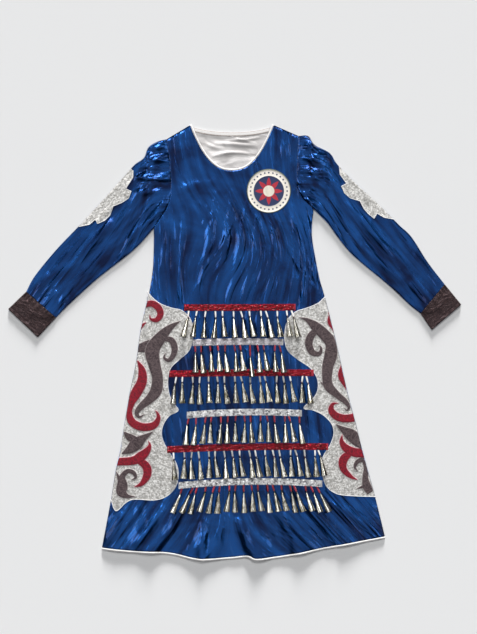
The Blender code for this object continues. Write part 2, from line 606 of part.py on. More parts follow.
def add_bindings(grid):
    first, last = neck_columns()
    neck = grid[-1][first:last + 1]
    heights = np.array([p[2] for p in neck])
    strip("neck_binding_front", offset_line(neck, SEAM_GAP), offset_line(neck, SEAM_GAP + BINDING_WIDTH),
          np.maximum(heights - FRONT_WALL - BINDING_PROUD, BACK_BAND_LAYER[1] + LAYER_GAP),
          np.maximum(heights + BINDING_PROUD, BACK_BAND_LAYER[1] + LAYER_GAP + FRONT_WALL), "white_binding")
    xs = np.linspace(RIGHT_NECK_X + BACK_BAND_INSET, LEFT_NECK_X - BACK_BAND_INSET, NECK_COLUMNS)
    edge = [(x, back_neck_y(x)) for x in xs]
    inner = offset_line(edge, -BACK_BAND_WIDTH)
    strip("neck_binding_back", edge, inner, [BACK_BAND_LAYER[0]] * len(xs), [BACK_BAND_LAYER[1]] * len(xs),
          "white_binding")
    hem = grid[0]
    tops = np.array([p[2] for p in hem])
    strip("hem_binding_front", offset_line(hem, -SEAM_GAP), offset_line(hem, -SEAM_GAP - BINDING_WIDTH),
          np.maximum(tops - FRONT_WALL - BINDING_PROUD, BACK_HEM_BINDING_TOP + LAYER_GAP), tops + BINDING_PROUD,
          "white_binding")
    back_hem = back_outline(grid)[:len(hem)]
    strip("hem_binding_back", offset_line(back_hem, -SEAM_GAP), offset_line(back_hem, -SEAM_GAP - BINDING_WIDTH),
          [0.0] * len(hem), [BACK_HEM_BINDING_TOP] * len(hem), "white_binding")


# Sleeves and cuffs

def near_edges(points):
    """The same line with one more point close to each end, where the cloth turns over."""
    p = list(map(np.array, points))
    return np.array([p[0], p[0] + NEAR_EDGE * (p[1] - p[0]), *p[1:-1], p[-1] + NEAR_EDGE * (p[-2] - p[-1]), p[-1]])


def sleeve_plan(armhole, upper, lower):
    """Plan points of a sleeve, ring by ring from the armhole to the cuff, spread between its four edges."""
    armhole = near_edges(armhole)
    across_arm = lengths_along(armhole)
    upper = at_fractions(smooth_curve(upper, 8), SLEEVE_RINGS)
    lower = at_fractions(smooth_curve(lower, 8), SLEEVE_RINGS)
    upper += armhole[0] - upper[0]
    lower += armhole[-1] - lower[0]
    rings = []
    for t, top, bottom in zip(SLEEVE_RINGS, upper, lower):
        s = across_arm[:, None]
        cuff = upper[-1] + (lower[-1] - upper[-1]) * s
        corners = ((1 - s) * (1 - t) * armhole[0] + s * (1 - t) * armhole[-1]
                   + (1 - s) * t * upper[-1] + s * t * lower[-1])
        rings.append((1 - s) * top + s * bottom + (1 - t) * armhole + t * cuff - corners)
    return rings, across_arm


def sleeve_height(x, y, s, t, edge_distance, folds):
    puff = HEAD_PUFF_HEIGHT * math.exp(-(((t - 0.09) / 0.075) ** 2)) * math.exp(-((s / 0.5) ** 2))
    pleat = HEAD_PLEAT_HEIGHT * math.cos(2 * math.pi * HEAD_PLEATS * s) * math.exp(-t / HEAD_REACH) * (s < 0.7)
    rise = edge_rise(edge_distance)
    near_seam = 1 - math.exp(-t / 0.02)
    lift = (puff * near_seam + max(pleat, 0.0) + fold_height(x, y, folds)) * rise
    return SLEEVE_FLAT + lift


def tube(name, plan, heights, edge_z, wall, material_name):
    """A flattened tube of cloth. Each ring goes over the top, round an edge and back along the surface."""
    rings = []
    for line, tops in zip(plan, heights):
        width = np.linalg.norm(line[-1] - line[0])
        pinch = wall / width
        inner_line = line[0] + (line - line[0]) * (1 - 2 * pinch) + (line[-1] - line[0]) * pinch
        outer, inner = [], []
        last = len(line) - 1
        for k in range(last + 1):
            edge = k in (0, last)
            outer.append((*line[k], edge_z if edge else tops[k]))
            inner.append((*inner_line[k], edge_z if edge else tops[k] - wall))
        for k in range(last - 1, 0, -1):
            outer.append((*line[k], 0.0))
            inner.append((*inner_line[k], wall))
        rings.append((outer, inner))
    count, size = len(rings), len(rings[0][0])
    points = [p for outer, inner in rings for p in outer + inner]
    faces = []

    def index(ring, side, k):
        return ring * 2 * size + side * size + k % size

    for i in range(count - 1):
        for side in (0, 1):
            for k in range(size):
                a, b = index(i, side, k), index(i, side, k + 1)
                c, d = index(i + 1, side, k + 1), index(i + 1, side, k)
                faces += [(a, b, c), (a, c, d)]
    for i in (0, count - 1):
        for k in range(size):
            a, b = index(i, 0, k), index(i, 0, k + 1)
            c, d = index(i, 1, k + 1), index(i, 1, k)
            faces += [(a, b, c), (a, c, d)]
    return add_object(name, points, faces, material_name)


def add_sleeve(side, armhole, upper, lower, tips, folds):
    """One sleeve and its cuff. Returns the points of the sleeve's upper side, for what lies on it."""
    outwards = np.array([-SEAM_GAP if side == "right" else SEAM_GAP, 0.0])
    rings, across_arm = sleeve_plan([np.array(p[:2]) + outwards for p in armhole], upper, lower)
    heights = []
    for line, t in zip(rings, SLEEVE_RINGS):
        width = np.linalg.norm(line[-1] - line[0])
        heights.append([sleeve_height(x, y, s, t, min(s, 1 - s) * width, folds)
                        for (x, y), s in zip(line, across_arm)])
    tube(f"{side}_sleeve", rings, heights, SLEEVE_EDGE_Z, SLEEVE_WALL, "blue_cloth")
    start, end = rings[-1][0], rings[-1][-1]
    tip_start, tip_end = (np.array(p, float) for p in tips)
    s = across_arm[:, None]
    cuff_lines = []
    for t in (SEAM_GAP / np.linalg.norm(tip_start - start), 0.5, 1.0):
        cuff_lines.append((start + (tip_start - start) * t) * (1 - s) + (end + (tip_end - end) * t) * s)
    flat = [CUFF_FLAT - CUFF_FLAT * 0.12 * abs(2 * k - 1) ** 3 for k in across_arm]
    tube(f"{side}_cuff", cuff_lines, [flat] * 3, CUFF_FLAT / 2, CUFF_WALL, "cuff_cloth")
    return [[(x, y, z) for (x, y), z in list(zip(line, tops))[1:-1]] for line, tops in zip(rings, heights)]


# Panels, scrolls and patch that lie on the cloth

def add_side_panel(side, grid, edge):
    outline = [tuple(p) for p in smooth_curve(edge, 2)]
    outward = -PANEL_OVERHANG if side == "right" else PANEL_OVERHANG
    outline += [(edge[-1].x + outward, edge[-1].y), (edge[0].x + outward, edge[0].y)]
    cutter = prism(f"{side}_side_panel_outline", outline)
    return layer(f"{side}_side_panel", grid, SIDE_PANEL_LAYER, cutter, "silver_cloth")


def add_sleeve_panel(side, grid, edge):
    outward = -PANEL_OVERHANG if side == "right" else PANEL_OVERHANG
    outline = [(p.x, p.y) for p in edge]
    outline += [(edge[-1].x + outward, edge[-1].y + PANEL_OVERHANG), (edge[0].x + outward, edge[0].y + PANEL_OVERHANG)]
    cutter = prism(f"{side}_sleeve_panel_outline", outline)
    return layer(f"{side}_sleeve_panel", grid, SIDE_PANEL_LAYER, cutter, "silver_cloth")


def add_scroll(scroll, height, body):
    """A scroll of one or two strokes, each a strip that swells and narrows along its length."""
    made = []
    for number, stroke in enumerate(scroll.strokes):
        curve = smooth_curve(stroke, STROKE_STEPS)
        half = curve[:, 2] / 2
        inner = np.array([offset_line(curve, h)[k] for k, h in enumerate(half)])
        outer = np.array([offset_line(curve, -h)[k] for k, h in enumerate(half)])
        name = scroll.name if number == 0 else f"{scroll.name}_branch"
        made.append(riding_strip(name, inner, outer, SCROLL_RIDE, height, None if number else scroll.material))
    for branch in made[1:]:
        boolean(made[0], branch, "UNION")
    corners = [v.co / MM for v in made[0].data.vertices]
    if any(not right_x(c.y) + EDGE_INSET < c.x < left_x(c.y) - EDGE_INSET for c in corners):
        boolean(made[0], body, "INTERSECT")
    return made[0]


def add_chest_patch(grid):
    turns = [2 * math.pi * k / PATCH_SIDES for k in range(PATCH_SIDES)]
    outline = [(PATCH_CENTRE.x + PATCH_RADIUS * math.cos(a), PATCH_CENTRE.y + PATCH_RADIUS * math.sin(a))
               for a in turns]
    return layer("chest_patch", grid, PATCH_LAYER, prism("chest_patch_outline", outline), "patch_cloth")


# Bands and jingles

def row_y(row, x):
    """The middle line of a band, bowed between its two ends."""
    t = (x - row.x0) / (row.x1 - row.x0)
    return row.y0 * (1 - t) + row.y1 * t + (row.y_mid - (row.y0 + row.y1) / 2) * 4 * t * (1 - t)


def row_line(row, xs, drop):
    return np.array([(x, row_y(row, x) - drop) for x in xs])


def tape_sections(row, height):
    """Where the tape's sections lie: a pair of them holds each loop, and two more end the tape."""
    xs = [row.first - TAPE_END]
    for x in np.linspace(row.first, row.last, row.count):
        xs += [x - LOOP_HALF_WIDTH, x + LOOP_HALF_WIDTH]
    xs.append(row.last + TAPE_END)
    low, high = row_line(row, xs, BAND_WIDTH / 2), row_line(row, xs, BAND_WIDTH / 2 - TAPE_WIDTH)
    tops = ride_heights(row_line(row, xs, BAND_WIDTH / 2 + LOOP_LENGTH + CONE_TOP_RADIUS), high, height)
    return low, high, tops


def add_band(row, tape, height):
    """The band over a row's tape."""
    low, _, tops = tape
    xs = np.linspace(row.x0, row.x1, BAND_PIECES + 1)
    tape_top = tops + TAPE_RIDE[1]
    return riding_strip(row.band, row_line(row, xs, BAND_WIDTH / 2), row_line(row, xs, -BAND_WIDTH / 2), BAND_RIDE,
                        lambda x, y: max(height(x, y), np.interp(x, low[:, 0], tape_top)), row.material)


def needed_height(height, centre, sideways, radius):
    """How high a round section's middle must be to clear what lies under it."""
    needed = 0.0
    for part in (-1.0, -0.6, 0.0, 0.6, 1.0):
        x, y = centre + sideways * radius * part
        needed = max(needed, height(x, y) + radius * math.sqrt(max(1 - part * part, 0.0)) + CONE_CLEARANCE)
    return needed


def ring(centre, along, sideways, radius):
    up = np.cross(sideways, along)
    turns = [2 * math.pi * (k + 0.25) / CONE_SIDES for k in range(CONE_SIDES)]
    return [centre + (sideways * math.cos(a) + up * math.sin(a)) * radius for a in turns]


def bridge(points, first, second):
    """Triangles that join two closed rings of points, taking turns so that both are used up evenly."""
    def gap(j):
        return np.linalg.norm(np.array(points[first[0]]) - np.array(points[second[j]]))

    nearest = min(range(len(second)), key=gap)
    second = second[nearest:] + second[:nearest]
    n, m = len(first), len(second)
    faces, i, j = [], 0, 0
    while i < n or j < m:
        a, b = first[i % n], second[j % m]
        if j == m or (i < n and (i + 0.5) / n <= (j + 0.5) / m):
            i += 1
            faces.append((a, b, first[i % n]))
        else:
            j += 1
            faces.append((a, b, second[j % m]))
    return faces


def add_cone(points, faces, opening, height, top_xy, mouth_xy):
    """A rolled metal cone on its loop: the loop grows out of an opening in the tape's side."""
    run = (mouth_xy - top_xy) / np.linalg.norm(mouth_xy - top_xy)
    sideways = np.array([-run[1], run[0]])
    top_z = needed_height(height, top_xy, sideways, CONE_TOP_RADIUS)
    slope = 0.0
    for t in np.linspace(0.0, 1.08, 28)[1:]:
        radius = CONE_TOP_RADIUS + (CONE_MOUTH_RADIUS - CONE_TOP_RADIUS) * min(t, 1.0)
        wanted = needed_height(height, top_xy + (mouth_xy - top_xy) * t, sideways, radius)
        slope = max(slope, (wanted - top_z) / t)
    top = np.array([*top_xy, top_z])
    mouth = np.array([*mouth_xy, top_z + slope])
    along = (mouth - top) / np.linalg.norm(mouth - top)
    flat = np.array([*sideways, 0.0])
    rings = []
    for centre, radius in ((top, CONE_TOP_RADIUS), (mouth, CONE_MOUTH_RADIUS), (mouth, CONE_MOUTH_RADIUS - CONE_WALL)):
        rings.append([len(points) + k for k in range(CONE_SIDES)])
        points += ring(centre, along, flat, radius)
    points.append(mouth + (top - mouth) * CONE_BORE_DEPTH)
    apex = len(points) - 1
    faces += bridge(points, opening, rings[0])
    for low, high in zip(rings, rings[1:]):
        for k in range(CONE_SIDES):
            m = (k + 1) % CONE_SIDES
            faces += [(low[k], low[m], high[m]), (low[k], high[m], high[k])]
    faces += [(rings[2][k], rings[2][(k + 1) % CONE_SIDES], apex) for k in range(CONE_SIDES)]


def add_jingles(number, row, tape, height):
    """One row of jingles on its narrow tape, as one closed skin."""
    low, high, tops = tape
    spans = [2 * k + 1 for k in range(row.count)]
    points, faces = strip_mesh(low, high, tops + TAPE_RIDE[0], tops + TAPE_RIDE[1], spans)
    for k, x in enumerate(np.linspace(row.first, row.last, row.count)):
        t = k / (row.count - 1)
        lean = float(np.interp(t, [0, 0.5, 1], [row.lean_right, row.lean_mid, row.lean_left]))
        lean += LEAN_WOBBLE * math.sin(2.4 * k + number)
        total = LOOP_LENGTH + CONE_LENGTH
        step = np.array([lean, -math.sqrt(total**2 - lean**2)]) / total
        top_xy = np.array([x, row_y(row, x) - BAND_WIDTH / 2]) + step * LOOP_LENGTH
        first = 4 * spans[k]
        add_cone(points, faces, [first, first + 3, first + 7, first + 4], height, top_xy,
                 top_xy + step * CONE_LENGTH)
    return add_object(f"jingles_{number}", points, faces, "jingle_metal")


def main():
    for obj in list(bpy.data.objects):
        bpy.data.objects.remove(obj)
    grid, right_arm, left_arm = body_grid()
    front = add_front_panel(grid)
    add_back_panel(grid)
    add_bindings(grid)
    right_armhole = [row[0] for row in grid[:right_arm - 1:-1]]
    left_armhole = [row[-1] for row in grid[:left_arm - 1:-1]]
    right_top = add_sleeve("right", right_armhole, RIGHT_SLEEVE_UPPER, RIGHT_SLEEVE_LOWER, RIGHT_CUFF_TIPS,
                           RIGHT_SLEEVE_FOLDS)
    left_top = add_sleeve("left", left_armhole, LEFT_SLEEVE_UPPER, LEFT_SLEEVE_LOWER, LEFT_CUFF_TIPS,
                          LEFT_SLEEVE_FOLDS)
    add_sleeve_panel("right", right_top, RIGHT_SLEEVE_PANEL)
    add_sleeve_panel("left", left_top, LEFT_SLEEVE_PANEL)
    under = [front, add_side_panel("right", grid, RIGHT_PANEL_EDGE), add_side_panel("left", grid, LEFT_PANEL_EDGE)]
    add_chest_patch(grid)
    bpy.context.view_layer.update()
    cloth_height = surface_under(under)
    sides = [(row[0][0] + EDGE_INSET, row[0][1]) for row in grid]
    sides += [(row[-1][0] - EDGE_INSET, row[-1][1]) for row in reversed(grid)]
    body = prism("body_outline", sides)
    under += [add_scroll(scroll, cloth_height, body) for scroll in SCROLLS]
    tapes = [tape_sections(row, cloth_height) for row in ROWS]
    bands = [add_band(row, tape, cloth_height) for row, tape in zip(ROWS, tapes)]
    bpy.context.view_layer.update()
    for number, (row, tape) in enumerate(zip(ROWS, tapes), 1):
        height = surface_under(under + [band for band in bands if band.name != row.band])
        add_jingles(number, row, tape, height)


main()
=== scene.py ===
# %% [markdown]
# # A jingle dress, laid flat
#
# A jingle dress is a dance dress that carries rows of small rolled metal cones, which ring as the
# dancer steps. This one lies on its back with its sleeves spread. Its plain solids come in as a fixed
# frame, and each step makes the cloth, trim or metal that is seen in the place of one of them.
#
# Right and left are the wearer's, so the right sleeve points to -X. Tables are in millimetres.

# %% Load the frame
import math
from collections import namedtuple
from functools import partial

import bmesh
import bpy
import numpy as np
from mathutils import Matrix, Vector, noise
from mathutils.bvhtree import BVHTree


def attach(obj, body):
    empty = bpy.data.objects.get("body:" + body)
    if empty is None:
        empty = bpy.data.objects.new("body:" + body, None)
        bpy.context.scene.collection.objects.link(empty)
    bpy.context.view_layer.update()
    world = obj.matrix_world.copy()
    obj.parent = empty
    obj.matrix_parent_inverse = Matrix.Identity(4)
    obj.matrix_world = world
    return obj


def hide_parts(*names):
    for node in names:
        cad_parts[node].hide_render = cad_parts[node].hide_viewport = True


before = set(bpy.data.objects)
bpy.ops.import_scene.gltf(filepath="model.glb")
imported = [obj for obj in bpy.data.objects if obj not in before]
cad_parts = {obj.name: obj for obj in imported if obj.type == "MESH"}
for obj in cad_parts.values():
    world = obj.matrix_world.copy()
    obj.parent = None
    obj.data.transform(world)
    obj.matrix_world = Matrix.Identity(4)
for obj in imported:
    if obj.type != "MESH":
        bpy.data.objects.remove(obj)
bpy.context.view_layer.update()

MM = 0.001
print("solids in the frame:", len(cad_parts))

# %% [markdown]
# ## Camera, floor and light
#
# The dress is seen from straight above. A camera with a fairly long lens, four metres up, gives that
# view with almost no perspective. The floor is one pale sheet. Broad suns stand for windows beyond the
# neck and light walls at the sides: a sun lights a floor evenly, and shiny cloth shows each one as a
# streak on the slopes that face it. The low window draws the soft shadows below the hem and sleeves,
# and most of it is kept out of mirrors, because bare it would burn out the foil.
# The room is bright overhead and dark near the floor, so the steep sides of folds mirror a dark part.

# %% Colours from hex values
def colour(code):
    """The linear colour of an sRGB hex value such as "1F4E96"."""
    parts = [int(code[k:k + 2], 16) / 255 for k in (0, 2, 4)]
    linear = [c / 12.92 if c <= 0.04045 else ((c + 0.055) / 1.055) ** 2.4 for c in parts]
    return (*linear, 1.0)


print("middle grey is", [round(c, 3) for c in colour("808080")])

# %% One function that adds a node
def new_material(name):
    """An empty material, ready for its nodes."""
    material = bpy.data.materials.new(name)
    material.use_nodes = True
    material.node_tree.nodes.clear()
    return material


def add(owner, kind, inputs=None, **settings):
    """Adds a shader node. An input is a value, a socket, or a node whose first output is linked."""
    node = owner.node_tree.nodes.new("ShaderNode" + kind)
    for name, value in settings.items():
        setattr(node, name, value)
    for key, value in (inputs or {}).items():
        if isinstance(value, bpy.types.Node):
            value = value.outputs[0]
        if isinstance(value, bpy.types.NodeSocket):
            owner.node_tree.links.new(value, node.inputs[key])
        else:
            node.inputs[key].default_value = value
    return node


def blend(owner, value, low, high, first, second, most=1.0):
    """The first colour where the value is `low`, turning to `most` of the second where it is `high`."""
    amount = add(owner, "MapRange", {"Value": value, "From Min": low, "From Max": high, "To Max": most})
    return add(owner, "Mix", {0: amount, 6: first, 7: second}, data_type="RGBA").outputs[2]


print("helpers:", new_material.__name__, add.__name__, blend.__name__)

# %% Camera
CAMERA_HEIGHT = 4.0
VIEW_CENTRE = (0.0103, 0.0675)
VIEW_HEIGHT = 1.7118
SENSOR = 24.0

camera = bpy.data.objects.new("camera", bpy.data.cameras.new("camera"))
camera.data.sensor_fit = "VERTICAL"
camera.data.sensor_height = SENSOR
camera.data.lens = SENSOR * CAMERA_HEIGHT / VIEW_HEIGHT
camera.location = (*VIEW_CENTRE, CAMERA_HEIGHT)
bpy.context.scene.collection.objects.link(camera)
bpy.context.scene.camera = camera
bpy.context.scene.view_settings.view_transform = "Standard"
print("lens", round(camera.data.lens, 1), "mm")

# %% Lamps
Sun = namedtuple("Sun", "name height bearing spread strength mirrored")
SUNS = [
    Sun("window", 56, -6, 18, 1.05, True),
    Sun("low_window", 15, 4, 12, 0.6, True),
    Sun("low_window_through_gauze", 11, 4, 12, 6.8, False),
    Sun("left_hand_wall", 48, 80, 22, 0.15, True),
    Sun("right_hand_wall", 44, -76, 22, 0.3, True),
]
CEILING, HORIZON = colour("B4B6B9"), colour("101216")


def aim(lamp):
    """Turns a lamp so that its light comes from `height` degrees up, `bearing` degrees round from +Y."""
    height, bearing = math.radians(lamp.height), math.radians(lamp.bearing)
    towards = Vector((math.sin(bearing) * math.cos(height), math.cos(bearing) * math.cos(height),
                      math.sin(height)))
    return (-towards).to_track_quat("-Z", "Y").to_euler()


for lamp in SUNS:
    data = bpy.data.lights.new(lamp.name, "SUN")
    data.energy = lamp.strength
    data.angle = math.radians(lamp.spread)
    light = bpy.data.objects.new(lamp.name, data)
    light.rotation_euler = aim(lamp)
    light.visible_glossy = lamp.mirrored
    bpy.context.scene.collection.objects.link(light)
print("suns:", [lamp.name for lamp in SUNS])

# %% The room
world = bpy.data.worlds.new("studio")
world.use_nodes = True
world.node_tree.nodes.clear()
way = add(world, "TexCoord").outputs["Generated"]
up = add(world, "SeparateXYZ", {0: way}).outputs["Z"]
overhead = add(world, "MapRange", {
    "Value": up, "From Min": 0.55, "From Max": 1.0}, interpolation_type="SMOOTHSTEP")
room = add(world, "Mix", {0: overhead.outputs[0], 6: HORIZON, 7: CEILING}, data_type="RGBA").outputs[2]
glow = add(world, "Background", {"Color": room, "Strength": 1.0})
add(world, "OutputWorld", {"Surface": glow})
bpy.context.scene.world = world
print("ceiling", [round(c, 2) for c in CEILING[:3]], "horizon", [round(c, 2) for c in HORIZON[:3]])

# %% Floor
FLOOR_SIZE = 20.0


def floor_finish():
    """Matt card: pale, with a tooth so fine that it only takes the gloss away."""
    material = new_material("matt_card")
    place = add(material, "TexCoord").outputs["Object"]
    tooth = add(material, "TexNoise", {"Vector": place, "Scale": 900.0, "Detail": 2.0})
    bump = add(material, "Bump", {"Height": tooth, "Strength": 0.05, "Distance": 0.0005})
    shader = add(material, "BsdfPrincipled", {
        "Base Color": colour("E5E5E5"), "Roughness": 0.9, "Specular IOR Level": 0.1, "Normal": bump})
    add(material, "OutputMaterial", {"Surface": shader})
    return material


floor_mesh = bmesh.new()
bmesh.ops.create_grid(floor_mesh, x_segments=1, y_segments=1, size=FLOOR_SIZE)
floor_data = bpy.data.meshes.new("floor")
floor_mesh.to_mesh(floor_data)
floor_mesh.free()
floor_data.materials.append(floor_finish())
floor = bpy.data.objects.new("floor", floor_data)
floor.location.z = -0.0002
bpy.context.scene.collection.objects.link(floor)
print("floor", 2 * FLOOR_SIZE, "m wide")

# %% [markdown]
# ## The finishes
#
# Every finish is worked out from what the real one is and how its surface was made, and some also
# have light and shade painted into their colour. Patterns that follow the cloth read a UV map named
# cut, which holds each point's place on the flat cut in metres, so a thread or a streak keeps its real
# size. Patterns that don't follow it read Object coordinates.

# %% Lame, the blue foil cloth
def lame():
    """Blue lame: a knit with metal foil pressed on it. It mirrors softly, and its creases stay sharp.

    Creases and troughs run with the drape about 30 mm apart, over long soft hollows 22 mm apart.
    Others cross them, and finer cracks in the foil are 7 mm apart. Painted shade makes the troughs dark
    navy and the hollows a darker blue. Painted light makes the swells and random patches a lighter blue,
    and a painted highlight of lighter blue lies on the cracks' crests.
    A clear film gives the small white glints.
    """
    material = new_material("blue_foil_lame")
    drape = add(material, "UVMap", uv_map="drape")
    creased = add(material, "Attribute", attribute_name="creased").outputs["Fac"]

    def ridges(over, run, detail, distortion, start=0.0, turn=0.0):
        """Sharp crests: `over` of them to a metre across the drape and `run` along it, or turned from it."""
        stretched = add(material, "Mapping", {
            "Vector": drape, "Location": (start, start, 0.0), "Rotation": (0.0, 0.0, math.radians(turn)),
            "Scale": (1 / over, 1 / run, 1.0)}, vector_type="TEXTURE")
        return add(material, "TexNoise", {
            "Vector": stretched, "Scale": 1.0, "Detail": detail, "Roughness": 0.5,
            "Distortion": distortion, "Offset": 0.9, "Gain": 1.0}, noise_type="RIDGED_MULTIFRACTAL",
            normalize=False)

    def only_creased(height):
        return add(material, "Math", {0: height, 1: creased}, operation="MULTIPLY")

    creases = only_creased(ridges(34.0, 2.6, 1.0, 0.3))
    troughs = only_creased(ridges(28.0, 2.2, 1.0, 0.3, 0.13))
    crossing = only_creased(only_creased(ridges(26.0, 7.0, 2.0, 0.4, 0.29, 38.0)))
    cracks = only_creased(ridges(150.0, 6.0, 2.0, 0.3))
    crumple = add(material, "TexNoise", {
        "Vector": drape, "Scale": 34.0, "Detail": 3.0, "Roughness": 0.5, "Distortion": 0.8})
    patches = add(material, "TexNoise", {"Vector": drape, "Scale": 9.0, "Detail": 3.0, "Distortion": 0.6})
    hung = add(material, "Mapping", {"Vector": drape, "Scale": (46.0, 4.5, 1.0)})
    hollows = add(material, "TexNoise", {"Vector": hung, "Scale": 1.0, "Detail": 2.0, "Distortion": 0.4})
    # Painted light and shade: the blue is darker in the long hollows, lighter on their swells, and varies in
    # random patches
    painted_light_and_shade = add(material, "Math", {0: patches, 1: hollows}, operation="ADD")
    blue = blend(material, painted_light_and_shade, 0.78, 1.2, colour("092252"), colour("1D5CAA"))
    # Painted highlight: a lighter blue on the crests of the fine cracks
    painted_crest_highlight = blend(material, cracks, 1.0, 1.8, blue, colour("4A80CC"), 0.5)
    # Painted shade: dark navy in the troughs
    painted_trough_shade = blend(material, troughs, 1.2, 1.9, painted_crest_highlight, colour("051334"), 0.35)
    along = add(material, "Math", {0: creases, 1: troughs}, operation="SUBTRACT")
    with_crossing = add(material, "Math", {0: crossing, 1: 0.3, 2: along}, operation="MULTIPLY_ADD")
    relief = add(material, "Math", {0: hollows, 1: 1.2, 2: with_crossing}, operation="MULTIPLY_ADD")
    rough = add(material, "MapRange", {"Value": crumple, "To Min": 0.18, "To Max": 0.28})
    coarse = add(material, "Bump", {"Height": crumple, "Strength": 0.16, "Distance": 0.002})
    folded_in = add(material, "Bump", {
        "Height": relief, "Strength": 0.8, "Distance": 0.003, "Normal": coarse})
    fine = add(material, "Bump", {
        "Height": cracks, "Strength": 0.6, "Distance": 0.0006, "Normal": folded_in})
    shader = add(material, "BsdfPrincipled", {
        "Base Color": painted_trough_shade, "Metallic": 0.92, "Roughness": rough, "Normal": fine, "Coat Weight": 0.33,
        "Coat Roughness": 0.11, "Coat Normal": folded_in})
    add(material, "OutputMaterial", {"Surface": shader})
    return material


BLUE_LAME = lame()
print("finish:", BLUE_LAME.name)

# %% The lame's pale reverse
def satin_reverse():
    """The lame's knit side: silvery satin, softly wrinkled about 30 mm from fold to fold, with painted shade
    and highlight.
    """
    material = new_material("silvery_satin_reverse")
    drape = add(material, "UVMap", uv_map="drape")
    flat_way = add(material, "Mapping", {"Vector": drape, "Scale": (11.0, 24.0, 1.0)})
    wrinkles = add(material, "TexNoise", {
        "Vector": flat_way, "Scale": 1.0, "Detail": 2.0, "Roughness": 0.4, "Distortion": 1.0})
    knit = add(material, "TexNoise", {"Vector": drape, "Scale": 900.0, "Detail": 1.0})
    # Painted shade and highlight: darker in the hollows of the wrinkles, lighter on their crests
    tone = blend(material, wrinkles, 0.35, 0.65, colour("BFBBB9"), colour("EAE6E4"))
    wrinkled = add(material, "Bump", {"Height": wrinkles, "Strength": 0.6, "Distance": 0.006})
    bump = add(material, "Bump", {
        "Height": knit, "Strength": 0.15, "Distance": 0.0003, "Normal": wrinkled})
    shader = add(material, "BsdfPrincipled", {
        "Base Color": tone, "Metallic": 0.2, "Roughness": 0.4, "Normal": bump})
    add(material, "OutputMaterial", {"Surface": shader})
    return material


LINING = satin_reverse()
print("finish:", LINING.name)

# %% The neck's tape
STITCH_MIDDLE, STITCH_ROW, STITCH_WIDTH, STITCH_LENGTH = 0.0055, 0.0042, 0.0007, 0.004


def stitched_cotton():
    """White cotton tape with a row of brown stitches, 4 mm long, near each edge."""
    material = new_material("stitched_cotton_tape")
    cut = add(material, "UVMap", uv_map="cut")
    place = add(material, "SeparateXYZ", {0: cut})
    from_middle = add(material, "Math", {0: place.outputs[0], 1: STITCH_MIDDLE}, operation="SUBTRACT")
    to_row = add(material, "Math", {0: from_middle}, operation="ABSOLUTE")
    in_row = add(material, "Math", {0: to_row, 1: STITCH_ROW, 2: STITCH_WIDTH}, operation="COMPARE")
    turns = add(material, "Math", {0: place.outputs[1], 1: STITCH_LENGTH}, operation="MODULO")
    sewn = add(material, "Math", {0: turns, 1: 0.75 * STITCH_LENGTH}, operation="LESS_THAN")
    stitch = add(material, "Math", {0: in_row, 1: sewn}, operation="MULTIPLY")
    weave = add(material, "TexNoise", {"Vector": cut, "Scale": 700.0, "Detail": 1.0})
    tone = add(material, "Mix", {
        0: stitch, 6: colour("EAE7E4"), 7: colour("8A6A58")}, data_type="RGBA").outputs[2]
    bump = add(material, "Bump", {"Height": weave, "Strength": 0.3, "Distance": 0.0004})
    shader = add(material, "BsdfPrincipled", {
        "Base Color": tone, "Roughness": 0.8, "Normal": bump, "Sheen Weight": 0.2})
    add(material, "OutputMaterial", {"Surface": shader})
    return material


STITCHED = stitched_cotton()
print("finish:", STITCHED.name)

# %% Plain cloths: white binding and ribbon satin
def woven(name, hex_code, thread, roughness, sheen, shade="8C8884"):
    """A plain cloth: threads both ways, `thread` mm apart, slightly uneven in colour.

    Real threads lie 0.3 mm apart. They are drawn wider, so that they show.
    """
    material = new_material(name)
    cut = add(material, "UVMap", uv_map="cut")
    waves = []
    for direction in ("X", "Y"):
        waves.append(add(material, "TexWave", {
            "Vector": cut, "Scale": 0.314 / (thread * MM), "Distortion": 0.6, "Detail": 1.0},
            wave_type="BANDS", bands_direction=direction).outputs["Fac"])
    weave = add(material, "Math", {0: waves[0], 1: waves[1]}, operation="ADD")
    uneven_dye = add(material, "TexNoise", {"Vector": cut, "Scale": 30.0, "Detail": 4.0})
    tint = blend(material, uneven_dye, 0.4, 0.8, colour(hex_code), colour(shade), 0.35)
    bump = add(material, "Bump", {"Height": weave, "Strength": 0.4, "Distance": 0.0004})
    shader = add(material, "BsdfPrincipled", {
        "Base Color": tint, "Roughness": roughness, "Normal": bump, "Sheen Weight": sheen,
        "Sheen Roughness": 0.4})
    add(material, "OutputMaterial", {"Surface": shader})
    return material


BINDING = woven("white_cotton_binding", "F0EEEC", 1.8, 0.8, 0.2)
WHITE_RIBBON = woven("white_satin_ribbon", "DDDAD8", 1.2, 0.35, 0.5)
RED_RIBBON = woven("red_satin_ribbon", "A8122A", 1.2, 0.35, 0.5, shade="5E0A18")
print("finishes:", BINDING.name, WHITE_RIBBON.name, RED_RIBBON.name)

